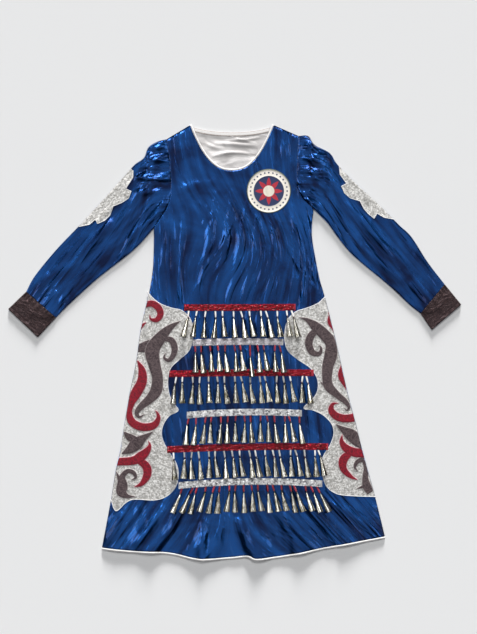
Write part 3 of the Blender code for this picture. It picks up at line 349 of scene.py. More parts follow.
# %% Silver glitter cloth
def glitter_cloth():
    """Silver cloth covered in pressed glitter: flakes about 3 mm wide, each tilted its own way.

    Lines of a swirling pattern, about 25 mm across, are pressed into it and look darker.
    """
    material = new_material("silver_glitter_cloth")
    place = add(material, "TexCoord").outputs["Object"]
    flakes = add(material, "TexVoronoi", {"Vector": place, "Scale": 300.0})
    grain = add(material, "TexVoronoi", {"Vector": place, "Scale": 170.0})
    swirl = add(material, "TexWave", {
        "Vector": place, "Scale": 13.0, "Distortion": 14.0, "Detail": 1.5, "Detail Scale": 1.2},
        wave_type="RINGS", rings_direction="Z")
    pressed = add(material, "MapRange", {
        "Value": swirl.outputs["Fac"], "From Max": 0.2, "To Min": 0.4, "To Max": 0.0})
    flake_shade = add(material, "SeparateColor", {0: flakes.outputs["Color"]})
    silver = blend(material, flake_shade, 0.1, 0.9, colour("B6B3AE"), colour("F6F4F0"))
    tone = add(material, "Mix", {
        0: pressed.outputs[0], 6: silver, 7: colour("7C7A76")}, data_type="RGBA").outputs[2]
    rough = add(material, "MapRange", {"Value": flake_shade.outputs[1], "To Min": 0.28, "To Max": 0.6})
    tilt = add(material, "Bump", {"Height": flake_shade.outputs[2], "Strength": 0.22, "Distance": 0.001})
    lumps = add(material, "Bump", {"Height": grain, "Strength": 0.3, "Distance": 0.0015, "Normal": tilt})
    shader = add(material, "BsdfPrincipled", {
        "Base Color": tone, "Metallic": 0.5, "Roughness": rough, "Normal": lumps})
    add(material, "OutputMaterial", {"Surface": shader})
    return material


SILVER_CLOTH = glitter_cloth()
print("finish:", SILVER_CLOTH.name)

# %% Applique cloth
def applique(name, hex_code, dark_code, thread_code, metallic):
    """A scroll's cloth, with a border of satin stitch about 1 mm wide along its cut edge."""
    material = new_material(name)
    cut = add(material, "UVMap", uv_map="cut")
    rim = add(material, "Attribute", attribute_name="rim").outputs["Fac"]
    speckle = add(material, "TexVoronoi", {"Vector": cut, "Scale": 420.0})
    shade = add(material, "SeparateColor", {0: speckle.outputs["Color"]})
    cloth = add(material, "Mix", {
        0: shade, 6: colour(dark_code), 7: colour(hex_code)}, data_type="RGBA").outputs[2]
    stitched = add(material, "MapRange", {
        "Value": rim, "From Min": 0.7, "From Max": 1.3, "To Min": 1.0, "To Max": 0.0})
    thread = add(material, "TexWave", {
        "Vector": cut, "Scale": 300.0, "Distortion": 0.4}, bands_direction="Y").outputs["Fac"]
    border = add(material, "Mix", {
        0: stitched, 6: cloth, 7: colour(thread_code)}, data_type="RGBA").outputs[2]
    height = add(material, "Math", {0: thread, 1: stitched}, operation="MULTIPLY")
    bump = add(material, "Bump", {"Height": height, "Strength": 0.5, "Distance": 0.0008})
    nap = add(material, "Bump", {"Height": speckle, "Strength": 0.3, "Distance": 0.0006, "Normal": bump})
    shader = add(material, "BsdfPrincipled", {
        "Base Color": border, "Metallic": metallic, "Roughness": 0.55, "Normal": nap, "Sheen Weight": 0.05})
    add(material, "OutputMaterial", {"Surface": shader})
    return material


RED_APPLIQUE = applique("red_applique_cloth", "9C0424", "5E061A", "CFA4AA", 0.1)
TAUPE_APPLIQUE = applique("taupe_applique_cloth", "695A5B", "3A2E32", "C4BCBA", 0.3)
print("finishes:", RED_APPLIQUE.name, TAUPE_APPLIQUE.name)

# %% Cuff cloth
def cuff_foil():
    """Charcoal foil cloth, warmly tinted, softly folded and crushed into facets about 8 mm wide, with
    painted light and shade.
    """
    material = new_material("crushed_charcoal_foil")
    cut = add(material, "UVMap", uv_map="cut")
    facets = add(material, "TexNoise", {
        "Vector": cut, "Scale": 70.0, "Detail": 6.0, "Roughness": 0.7, "Distortion": 1.5})
    specks = add(material, "TexVoronoi", {"Vector": cut, "Scale": 450.0})
    shade = add(material, "SeparateColor", {0: specks.outputs["Color"]})
    # Painted light and shade: the facets are lighter where the bump raises them and darker where it sinks
    # them
    painted_facet_light_and_shade = add(material, "Mix", {
        0: facets, 6: colour("241E22"), 7: colour("664F4E")}, data_type="RGBA").outputs[2]
    tone = add(material, "Mix", {0: shade, 6: painted_facet_light_and_shade, 7: colour("33292B")}, data_type="RGBA").outputs[2]
    folds = add(material, "TexNoise", {"Vector": cut, "Scale": 22.0, "Detail": 2.0, "Distortion": 1.0})
    folded_in = add(material, "Bump", {"Height": folds, "Strength": 0.7, "Distance": 0.009})
    bump = add(material, "Bump", {
        "Height": facets, "Strength": 0.6, "Distance": 0.003, "Normal": folded_in})
    shader = add(material, "BsdfPrincipled", {
        "Base Color": tone, "Metallic": 0.7, "Roughness": 0.32, "Normal": bump})
    add(material, "OutputMaterial", {"Surface": shader})
    return material


CUFF_FOIL = cuff_foil()
print("finish:", CUFF_FOIL.name)

# %% Sequins
def sequin_foil(name, hex_code, dark_code, metallic):
    """Punched plastic sequins with a metal film: mirror-like, each a little different in shade."""
    material = new_material(name)
    place = add(material, "TexCoord").outputs["Object"]
    each = add(material, "TexVoronoi", {"Vector": place, "Scale": 260.0})
    shade = add(material, "SeparateColor", {0: each.outputs["Color"]})
    tone = blend(material, shade, 0.1, 0.5, colour(dark_code), colour(hex_code))
    scuffs = add(material, "TexNoise", {"Vector": place, "Scale": 500.0, "Detail": 2.0})
    rough = add(material, "MapRange", {"Value": scuffs, "To Min": 0.15, "To Max": 0.4})
    shader = add(material, "BsdfPrincipled", {
        "Base Color": tone, "Metallic": metallic, "Roughness": rough, "Coat Weight": 0.5})
    add(material, "OutputMaterial", {"Surface": shader})
    return material


RED_SEQUINS = sequin_foil("red_sequin_foil", "A80C24", "5A0410", 0.8)
SILVER_SEQUINS = sequin_foil("silver_sequin_foil", "FFFFFF", "6E6A72", 0.12)
DULL_SEQUINS = sequin_foil("dull_silver_sequin_foil", "D6D0D6", "A29CA4", 0.15)
print("finishes:", RED_SEQUINS.name, SILVER_SEQUINS.name, DULL_SEQUINS.name)

# %% The cones' metal
def tinplate():
    """Tinned steel, rolled by hand: bright, with long draw lines, and olive-brown blotches, part stain, part
    painted shade.
    """
    material = new_material("rolled_tinplate")
    cut = add(material, "UVMap", uv_map="cut")
    place = add(material, "TexCoord").outputs["Object"]
    lines = add(material, "Mapping", {"Vector": cut, "Scale": (900.0, 30.0, 1.0)})
    drawn = add(material, "TexNoise", {"Vector": lines, "Scale": 1.0, "Detail": 3.0})
    stains_and_painted_shade = add(material, "TexNoise", {"Vector": place, "Scale": 60.0, "Detail": 4.0})
    # The olive-brown blotches are partly stain and partly painted shade that darkens the cones like the dark
    # reflections down their sides
    tone = blend(material, stains_and_painted_shade, 0.42, 0.75, colour("DAD7CE"), colour("6F674C"))
    rough = add(material, "MapRange", {"Value": drawn, "To Min": 0.14, "To Max": 0.32})
    bump = add(material, "Bump", {"Height": drawn, "Strength": 0.25, "Distance": 0.0003})
    shader = add(material, "BsdfPrincipled", {
        "Base Color": tone, "Metallic": 1.0, "Roughness": rough, "Normal": bump})
    add(material, "OutputMaterial", {"Surface": shader})
    return material


TINPLATE = tinplate()
print("finish:", TINPLATE.name)

# %% [markdown]
# ## Cloth from a grid
#
# Each panel of cloth starts as a flat grid, and a function places its points. It could be cut from a
# plane by hand, but a formula keeps the edges exactly on the pattern. The Solidify modifier then gives
# the cloth its thickness, inwards, so that the outer side stays where it was placed.

# %% A grid of cloth
CLOTH = 1.0


def cloth_grid(columns, rows, place, flat, closed=False):
    """A grid whose points go to place(u, v), in millimetres. flat is the cut's size in metres.

    A fourth value from place is kept as each point's distance to the cut edge, named rim. A closed
    grid is a tube: its first and last columns meet, and are merged.
    """
    bm = bmesh.new()
    rim = bm.verts.layers.float.new("rim")
    cut = bm.loops.layers.uv.new("cut")
    bmesh.ops.create_grid(bm, x_segments=columns, y_segments=rows, size=0.5, calc_uvs=True)
    u, v = np.array([vert.co[:2] for vert in bm.verts]).T + 0.5
    for vert, point in zip(bm.verts, place(u, v)):
        vert.co = Vector(point[:3]) * MM
        vert[rim] = point[3] if len(point) > 3 else 0.0
    for face in bm.faces:
        for loop in face.loops:
            corner = loop[cut].uv
            loop[cut].uv = (corner.x * flat[0], corner.y * flat[1])
    if closed:
        bmesh.ops.remove_doubles(bm, verts=bm.verts, dist=1e-6)
    return bm


def drape_map(bm, lie):
    """Keeps how the creases run as a UV map named drape: over them and along them, in metres.

    lie(x, y) gives both for the points of a plan, in millimetres, and how creased the cloth is there.
    """
    layer = bm.loops.layers.uv.new("drape")
    creased = bm.verts.layers.float.new("creased")
    bm.verts.index_update()
    points = np.array([vert.co for vert in bm.verts]) / MM
    over, run, amount = lie(points[:, 0], points[:, 1])
    for vert in bm.verts:
        vert[creased] = amount[vert.index]
    for face in bm.faces:
        for loop in face.loops:
            k = loop.vert.index
            loop[layer].uv = (over[k] * MM, run[k] * MM)


print("cloth is drawn", CLOTH, "mm thick")

# %% Thickness, facing and joining
def thicken(bm, thickness):
    """Gives a sheet that lies flat its thickness in millimetres, downwards from its outer side."""
    grown = bmesh.ops.extrude_face_region(bm, geom=bm.faces[:], use_keep_orig=True)
    lower = [part for part in grown["geom"] if isinstance(part, bmesh.types.BMVert)]
    bmesh.ops.translate(bm, verts=lower, vec=(0, 0, -thickness * MM))
    bmesh.ops.recalc_face_normals(bm, faces=bm.faces)


def face_out(bm):
    """Points the faces outwards round a tube that lies flat, and upwards on a sheet."""
    bmesh.ops.recalc_face_normals(bm, faces=bm.faces)
    lowest = min(vert.co.z for vert in bm.verts)
    upward = sum(face.calc_area() * face.normal.z * (face.calc_center_median().z - lowest + MM)
                 for face in bm.faces)
    if upward < 0:
        bmesh.ops.reverse_faces(bm, faces=bm.faces)


def second_finish(bm):
    """Gives all faces the second of a piece's finishes."""
    for face in bm.faces:
        face.material_index = 1
    return bm


def joined(parts):
    """Several bmeshes as one."""
    whole = bmesh.new()
    for part in parts:
        mesh = bpy.data.meshes.new("part")
        part.to_mesh(mesh)
        part.free()
        whole.from_mesh(mesh)
        bpy.data.meshes.remove(mesh)
    return whole


print("parts can be thickened, faced and joined")

# %% A finished piece
def shade_by_area(obj):
    """Lets the broad faces decide the shading, so that a thin cut edge doesn't darken the cloth by it."""
    shading = obj.modifiers.new("shade_by_area", "WEIGHTED_NORMAL")
    shading.mode = "FACE_AREA"
    shading.weight = 100


def piece(name, bm, finishes, nodes, slot, thickness=None, faceted=False):
    """A finished piece, in the place of the named solids."""
    mesh = bpy.data.meshes.new(name)
    bm.to_mesh(mesh)
    bm.free()
    if not faceted:
        mesh.shade_smooth()
    for finish in finishes:
        mesh.materials.append(finish)
    obj = bpy.data.objects.new(name, mesh)
    bpy.context.scene.collection.objects.link(obj)
    if thickness:
        wall = obj.modifiers.new("thickness", "SOLIDIFY")
        wall.thickness = thickness * MM
        wall.offset = -1
        wall.material_offset = len(finishes) - 1
        shade_by_area(obj)
    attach(obj, "root")
    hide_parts(*nodes)
    print(name, "has", len(mesh.polygons), "faces")
    return obj


# %% Smooth curves through a few points
def smooth_curve(points, steps):
    """Points on a smooth curve through the given ones, with `steps` of them to each span."""
    p = np.array(points, float)
    p = np.vstack([2 * p[0] - p[1], p, 2 * p[-1] - p[-2]])
    t = np.linspace(0, 1, steps, endpoint=False)[:, None]
    spans = [
        0.5 * (2 * b + (c - a) * t + (2 * a - 5 * b + 4 * c - d) * t**2 + (3 * b - a - 3 * c + d) * t**3)
        for a, b, c, d in zip(p, p[1:], p[2:], p[3:])
    ]
    return np.vstack(spans + [p[-2]])


def curve_length(curve):
    """The length of a curve in plan."""
    return np.linalg.norm(np.diff(curve[:, :2], axis=0), axis=1).sum()


def along(curve, fractions):
    """Points at the given fractions of a curve's length."""
    steps = np.linalg.norm(np.diff(curve[:, :2], axis=0), axis=1)
    run = np.concatenate([[0.0], np.cumsum(steps)])
    return np.column_stack([np.interp(fractions, run / run[-1], axis) for axis in curve.T])


def left_of(curve, fractions):
    """The plan direction that points to the left of the curve's run, at the given fractions."""
    step = 0.002
    run = along(curve, np.clip(fractions + step, 0, 1)) - along(curve, np.clip(fractions - step, 0, 1))
    run = run[:, :2] / np.linalg.norm(run[:, :2], axis=1)[:, None]
    return np.column_stack([-run[:, 1], run[:, 0]])


print("a smooth curve through 3 points has", len(smooth_curve([(0, 0), (1, 1), (2, 0)], 8)), "points")

# %% [markdown]
# ## The body's outline
#
# The front and the back share their side edges and armholes. A table gives each edge's width at a few
# heights, as on a paper pattern. Columns of the grid follow two straight guides and bend with the real
# edges only close to them, which keeps the cloth's lines even.

# %% Edges of the body
Edge = namedtuple("Edge", "y x")
Spot = namedtuple("Spot", "x y")


def table(kind, rows):
    """A list of named tuples from plain rows of numbers."""
    return [kind(*row) for row in rows]


RIGHT_EDGE = table(Edge, [
    (-610, -369), (-554, -358), (-421, -333), (-346, -321), (-294, -309), (-213, -296), (-142, -284),
    (-54, -266), (32, -254), (108, -237), (154, -227), (208, -220), (275, -218), (308, -217),
    (332, -202), (367, -181), (400, -172), (451, -172), (505, -177), (547, -184), (600, -194),
])
LEFT_EDGE = table(Edge, [
    (-610, 425), (-524, 405), (-418, 379), (-327, 354), (-278, 341), (-213, 325), (-142, 306),
    (-27, 280), (28, 267), (92, 251), (140, 238), (167, 230), (221, 219), (281, 209), (324, 209),
    (359, 212), (374, 198), (392, 182), (421, 170), (454, 168), (518, 171), (556, 172), (600, 172),
])
HEM = table(Spot, [
    (-358, -554), (-312, -559), (-262, -563), (-177, -567), (-97, -583), (-17, -580), (36, -575),
    (62, -583), (143, -573), (250, -552), (405, -524),
])
RIGHT_GUIDE, LEFT_GUIDE = [Edge(-700, -362), Edge(700, -155)], [Edge(-700, 439), Edge(700, 128)]
RIGHT_UNDERARM_Y, LEFT_UNDERARM_Y = 308, 359
RIGHT_SHOULDER_Y, LEFT_SHOULDER_Y = 547, 556
NECK_X, NECK_HALF_WIDTH = -7.5, 113.5
NECK_BOTTOM_Y, NECK_DEPTH, NECK_POWER = 462, 123, 2.4
BACK_NECK_DROP = 19
BACK_HEM_DROP = 3.0
HEM_GUESS_Y, TOP_GUESS_Y = -570.0, 540.0

RIGHT_CURVE, LEFT_CURVE = smooth_curve(RIGHT_EDGE, 6), smooth_curve(LEFT_EDGE, 6)
HEM_CURVE = smooth_curve(HEM, 6)
NECK_TOP_Y = NECK_BOTTOM_Y + NECK_DEPTH
RIGHT_NECK_X, LEFT_NECK_X = NECK_X - NECK_HALF_WIDTH, NECK_X + NECK_HALF_WIDTH
print("the neck is", 2 * NECK_HALF_WIDTH, "mm wide and", NECK_DEPTH, "mm deep")

# %% The body's outline in plan
def right_x(y):
    """The x of the body's right edge at y."""
    return np.interp(y, RIGHT_CURVE[:, 0], RIGHT_CURVE[:, 1])


def left_x(y):
    """The x of the body's left edge at y."""
    return np.interp(y, LEFT_CURVE[:, 0], LEFT_CURVE[:, 1])


def hem_y(x):
    """The y of the hem at x."""
    return np.interp(x, HEM_CURVE[:, 0], HEM_CURVE[:, 1])


def across(u, y):
    """The x of a point the fraction u of the way from the right edge to the left edge."""
    right_guide = np.interp(y, [p.y for p in RIGHT_GUIDE], [p.x for p in RIGHT_GUIDE])
    left_guide = np.interp(y, [p.y for p in LEFT_GUIDE], [p.x for p in LEFT_GUIDE])
    x = right_guide + (left_guide - right_guide) * u
    return x + (right_x(y) - right_guide) * (1 - u) ** 5 + (left_x(y) - left_guide) * u**5


def front_top_y(x):
    """The front's top edge: a sloping shoulder, the scooped neckline and the other shoulder."""
    right = np.interp(x, [right_x(RIGHT_SHOULDER_Y), RIGHT_NECK_X], [RIGHT_SHOULDER_Y, NECK_TOP_Y])
    left = np.interp(x, [LEFT_NECK_X, left_x(LEFT_SHOULDER_Y)], [NECK_TOP_Y, LEFT_SHOULDER_Y])
    part = np.clip(np.abs(x - NECK_X) / NECK_HALF_WIDTH, 0, 1)
    neck = NECK_BOTTOM_Y + NECK_DEPTH * part**NECK_POWER
    return np.where(x < RIGHT_NECK_X, right, np.where(x > LEFT_NECK_X, left, neck))


def back_top_y(x):
    """The back's top edge: the same shoulders, with a shallow neckline."""
    part = np.clip((x - NECK_X) / NECK_HALF_WIDTH, -1, 1)
    neck = NECK_TOP_Y - BACK_NECK_DROP * (1 - part * part) ** 0.7
    return np.where(np.abs(x - NECK_X) < NECK_HALF_WIDTH, neck, front_top_y(x))


def column_ends(u, top_edge):
    """The y at the hem and at the top of the column that keeps the fraction u across the body."""
    bottom, top = np.full_like(u, HEM_GUESS_Y), np.full_like(u, TOP_GUESS_Y)
    for _ in range(12):
        bottom = hem_y(across(u, bottom))
        top = top_edge(across(u, top))
    return bottom, top


print("the body is", round(float(left_x(-520) - right_x(-520))), "mm wide near the hem")

# %% [markdown]
# ## How the cloth lies
#
# Foil cloth doesn't drape in round waves. It breaks into long ridges that start where it is held, at
# the underarms, the chest patch and the rows of cones, and die out. So each main fold is placed as a
# ridge with its own length, bend, height and width, and fine ripples from a noise run along them.

# %% Folds
Fold = namedtuple("Fold", "x0 y0 x1 y1 bow height width")


def hump(place, middle, width):
    """1 at the middle, falling smoothly to 0 on both sides of it."""
    return np.exp(-(((place - middle) / width) ** 2))


FRONT_FOLDS = table(Fold, [
    (-194, 340, -196, 100, 0, 3.4, 9), (-166, 345, -166, 95, 0, 3.6, 9),
    (-134, 350, -146, 100, -4, 3.2, 10), (-48, 420, -112, 100, 10, 4.2, 10),
    (-6, 415, -70, 95, 12, 4.6, 11), (34, 390, -24, 100, 8, 4.2, 11), (64, 350, 20, 95, 4, 3.6, 11),
    (112, 350, 84, 95, 4, 3.8, 11), (150, 370, 182, 100, 6, 4.4, 10), (176, 380, 226, 120, 6, 4.0, 10),
    (-150, 540, -70, 440, -8, 2.4, 12), (140, 540, 118, 470, 0, 2.2, 12),
    (-160, 400, -40, 430, 10, 2.2, 12), (-60, 60, -66, -20, 0, 1.2, 12), (70, 64, 74, -30, 0, 1.2, 12),
    (-110, -100, -104, -200, 0, 1.4, 12), (120, -110, 128, -210, 0, 1.4, 12),
    (-190, -440, -300, -566, 8, 7.0, 15), (-140, -450, -236, -572, 8, 6.4, 14),
    (-92, -450, -92, -590, 6, 7.4, 13), (-30, -440, -52, -590, 0, 4.6, 13),
    (8, -470, 60, -592, -4, 8.6, 13), (110, -440, 190, -575, -6, 6.0, 15),
    (160, -420, 300, -550, 10, 6.8, 16), (210, -420, 390, -520, 12, 6.2, 16),
    (-300, -455, -345, -550, 0, 4.0, 12),
])
FRONT_CREASES = table(Fold, [
    # From the chest patch down over the bodice
    (20, 386, -118, 127, 10, 2.0, 5), (-7, 297, -32, 197, 0, 1.2, 4), (30, 324, 22, 178, 0, 1.2, 4),
    (130, 297, 225, 138, -12, 1.8, 5), (155, 343, 225, 151, -8, 1.6, 5), (60, 346, 70, 150, 3, 1.2, 5),
    (100, 344, 122, 130, -4, 1.1, 5), (-70, 390, -140, 150, 8, 1.1, 4),
    # Under the arms and by the armholes
    (-205, 330, -180, 250, 0, 1.4, 4), (-182, 330, -205, 180, 4, 1.2, 4),
    (-170, 470, -120, 420, 4, 1.2, 5), (-168, 440, -110, 400, 4, 1.0, 5),
    (165, 470, 140, 500, 0, 1.2, 5), (166, 430, 150, 380, 3, 1.3, 5), (190, 370, 205, 250, 3, 1.3, 4),
    (-150, 575, -120, 500, 0, 1.0, 5),
    # Across the upper chest
    (-140, 395, -20, 385, 14, 0.8, 6), (-90, 500, -30, 452, -4, 0.7, 6),
    # Skirt
    (-250, -440, -330, -540, 4, 1.8, 6), (-210, -450, -268, -560, 4, 1.8, 6),
    (-165, -456, -170, -560, 0, 1.5, 6), (-115, -460, -130, -575, 3, 1.6, 6),
    (-60, -470, -20, -570, -3, 1.8, 6), (36, -460, 28, -570, 0, 1.6, 6),
    (90, -450, 120, -565, 3, 1.9, 6), (150, -460, 232, -560, 4, 1.8, 6),
    (250, -430, 340, -532, 6, 1.8, 6), (300, -424, 388, -490, 6, 1.4, 6),
])


def ridge(x, y, fold):
    """The height of one fold: 0 beyond its ends, highest along its bowed middle line."""
    run_x, run_y = fold.x1 - fold.x0, fold.y1 - fold.y0
    length = math.hypot(run_x, run_y)
    t = np.clip(((x - fold.x0) * run_x + (y - fold.y0) * run_y) / length**2, 0, 1)
    side = ((y - fold.y0) * run_x - (x - fold.x0) * run_y) / length - fold.bow * 4 * t * (1 - t)
    return fold.height * np.sin(np.pi * t) ** 0.7 * hump(side, 0, fold.width)


def folded(x, y, folds):
    """The height of several folds together."""
    return sum(ridge(x, y, fold) for fold in folds)


def uneven(run, over, long, short, seed):
    """Uneven ripples, from about -1 to 1, that last `long` mm along their run and `short` mm over it."""
    return np.array([noise.noise((a / long, b / short, seed)) for a, b in zip(run, over)])


print(len(FRONT_FOLDS), "main folds and", len(FRONT_CREASES), "fine creases on the front")

# %% Where the front lies flat or lifts
FRONT_LOW, FRONT_LOFT = 2.8, 2.2
EDGE_ROUND = 16.0
UNDERARM_FADE = 24.0
SEAM_DIP, SEAM_WIDTH, NO_SEAM = 0.5, 2.2, 99
Wave = namedtuple("Wave", "x height width")
HEM_WAVES = table(Wave, [
    (-322, 4.0, 26), (-236, 6.5, 30), (-92, 7.0, 32), (66, 8.0, 24), (178, 6.0, 32), (306, 5.5, 36)])
HEM_LIFT, HEM_WAVE_REACH = 1.2, 70.0
FAN = Spot(60, 480)
FAN_REACH = 200.0
SMOOTH_CHEST, SMOOTH_CHEST_REACH = Spot(-40, 460), Spot(150, 90)
BELOW_BANDS_Y = -400


def edge_rise(distance, width=EDGE_ROUND):
    """0 at a folded edge of the cloth, rounding up to 1 where the layers lie free."""
    near = 1 - np.clip(distance / width, 0, 1)
    return np.sqrt(1 - near * near)


def side_rise(distance, y, underarm_y):
    """The rise from a side seam. Above the underarm the edge is an armhole, where the cloth stays up."""
    armhole = np.clip((y - underarm_y) / UNDERARM_FADE + 1, 0, 1)
    return 1 - (1 - edge_rise(distance)) * (1 - armhole)


def calm_chest(x, y):
    """1 where the cloth is stretched smooth over the upper chest, 0 away from it."""
    return (hump(x, SMOOTH_CHEST.x, SMOOTH_CHEST_REACH.x)
            * hump(y, SMOOTH_CHEST.y, SMOOTH_CHEST_REACH.y))


def fan(x, y):
    """The angle and the distance of a point from where the bodice's creases fan out."""
    return np.arctan2(x - FAN.x, FAN.y - y), np.hypot(x - FAN.x, y - FAN.y)


print("the front has", len(HEM_WAVES), "waves at its hem")

# %% Height of the front's outer side
def front_lie(x, y):
    """How the front's creases run: in a fan from the chest patch over the bodice, and down elsewhere.

    Below the bands they spread towards the sides.
    """
    fan_angle, from_fan = fan(x, y)
    bodice = hump(y, 250, 130) * hump(x, 10, 160)
    spread = 0.8 * np.tanh(x / 160) * np.clip(BELOW_BANDS_Y - y, 0, None)
    over = bodice * fan_angle * FAN_REACH + (1 - bodice) * (x + 0.1 * y - spread)
    amount = (0.9 - 0.75 * calm_chest(x, y)) * np.where(y < BELOW_BANDS_Y, 1.2, 1.0)
    return over, bodice * (FAN.y - from_fan) + (1 - bodice) * y, amount


def front_ripples(x, y):
    """Ripples that run in the fan over the bodice and down elsewhere."""
    fan_angle, from_fan = fan(x, y)
    bodice = hump(y, 230, 150) * hump(x, 30, 150)
    fanned = uneven(from_fan, fan_angle * FAN_REACH, 110, 11, 3.1) * bodice
    straight = uneven(y, x + 0.12 * y, 90, 13, 7.7) * (1 - 0.6 * bodice)
    small = uneven(y, x, 30, 7, 1.3)
    return (1.5 * fanned + 1.1 * straight + 0.3 * small) * (1 - 0.8 * calm_chest(x, y))


def front_z(x, y):
    """The height of the front's outer side: its layers, folds and ripples, and the waves at the hem."""
    right = side_rise(x - right_x(y), y, RIGHT_UNDERARM_Y)
    left = side_rise(left_x(y) - x, y, LEFT_UNDERARM_Y)
    shoulder = np.where(np.abs(x - NECK_X) > NECK_HALF_WIDTH, edge_rise(front_top_y(x) - y), 1.0)
    rise = np.minimum(np.minimum(right, left), shoulder)
    waves = sum(wave.height * hump(x, wave.x, wave.width) for wave in HEM_WAVES)
    hem = (HEM_LIFT + waves * np.maximum(rise, 0.3)) * hump(y, hem_y(x), HEM_WAVE_REACH)
    drape = folded(x, y, FRONT_FOLDS) + folded(x, y, FRONT_CREASES) + front_ripples(x, y)
    seam = np.minimum(np.where(y > RIGHT_UNDERARM_Y, x - right_x(y), NO_SEAM),
                      np.where(y > LEFT_UNDERARM_Y, left_x(y) - x, NO_SEAM))
    dip = SEAM_DIP * hump(seam, 0, SEAM_WIDTH)
    return FRONT_LOW + FRONT_LOFT * rise + (drape - dip) * rise + hem


print("front height at the middle:", round(float(front_z(np.array([0.0]), np.array([0.0]))[0]), 1), "mm")

# %% Front and back
FRONT_COLUMNS, FRONT_ROWS = 176, 250
BACK_COLUMNS, BACK_ROWS = 96, 170
FRONT_CUT = (0.79, 1.16)
BACK_UNDERSIDE = 0.1
WRINKLES_START, WRINKLES_FADE, WRINKLES_STOP = 6, 12, 10
BACK_CREASES = table(Fold, [
    (-150, 300, -190, -100, 10, 0.7, 9), (-60, 420, -90, -60, 6, 0.6, 9), (60, 420, 40, 60, -8, 0.7, 9),
    (150, 330, 210, -120, -10, 0.7, 9), (-120, -180, -180, -560, 6, 0.8, 10),
    (-20, -60, -40, -560, 4, 0.7, 10), (120, -120, 170, -560, -8, 0.8, 10),
    (230, -200, 320, -530, -6, 0.7, 10),
])
NECK_WRINKLES = table(Fold, [
    (-92, 560, 20, 548, 4, 2.2, 5), (-30, 545, 78, 556, -4, 2.0, 5), (-60, 535, 66, 527, 3, 2.4, 5),
    (-10, 560, 60, 536, -3, 1.6, 4), (-84, 540, -30, 522, -4, 1.6, 5), (-66, 499, 56, 503, 10, 3.0, 3),
])


def front_place(u, v):
    """The front's outer side, column by column from the hem to its top edge."""
    bottom, top = column_ends(u, front_top_y)
    y = bottom + (top - bottom) * v
    x = across(u, y)
    return np.column_stack([x, y, front_z(x, y)])


def back_place(u, v):
    """The back's outer side, which faces down. Where the neck shows its inside, it wrinkles upwards."""
    u = 1 - u
    v = 1 - (1 - v) ** 1.8
    bottom, top = column_ends(u, back_top_y)
    y = bottom + (top - bottom) * v
    y -= BACK_HEM_DROP * np.sin(np.pi * u) * (1 - v) ** 8
    x = across(u, y)
    in_neck = np.abs(x - NECK_X) < NECK_HALF_WIDTH
    past_front = np.clip((y - front_top_y(x) - WRINKLES_START) / WRINKLES_FADE, 0, 1)
    below_band = np.clip((back_top_y(x) - y - WRINKLES_STOP) / WRINKLES_STOP, 0, 1)
    wrinkles = folded(x, y, NECK_WRINKLES) * past_front * in_neck * below_band
    return np.column_stack([x, y, BACK_UNDERSIDE + folded(x, y, BACK_CREASES) * 0.5 + wrinkles])


front_grid = cloth_grid(FRONT_COLUMNS, FRONT_ROWS, front_place, FRONT_CUT)
back_grid = cloth_grid(BACK_COLUMNS, BACK_ROWS, back_place, FRONT_CUT)
for grid in (front_grid, back_grid):
    drape_map(grid, front_lie)
front = piece("front_cloth", front_grid, [BLUE_LAME, LINING], ["front_panel"], "blue_cloth", CLOTH)
back = piece("back_cloth", back_grid, [BLUE_LAME, LINING], ["back_panel"], "lining_cloth", CLOTH)

# %% [markdown]
# ## Sleeves and cuffs
#
# A sleeve is a tube, gathered into the armhole and laid flat, so it has an upper and a lower layer that
# turn into each other at two edges. The tube is one grid rolled up: its columns run over the top, round
# the edge and back along the floor. The gathers stand up as short pleats at the armhole seam.

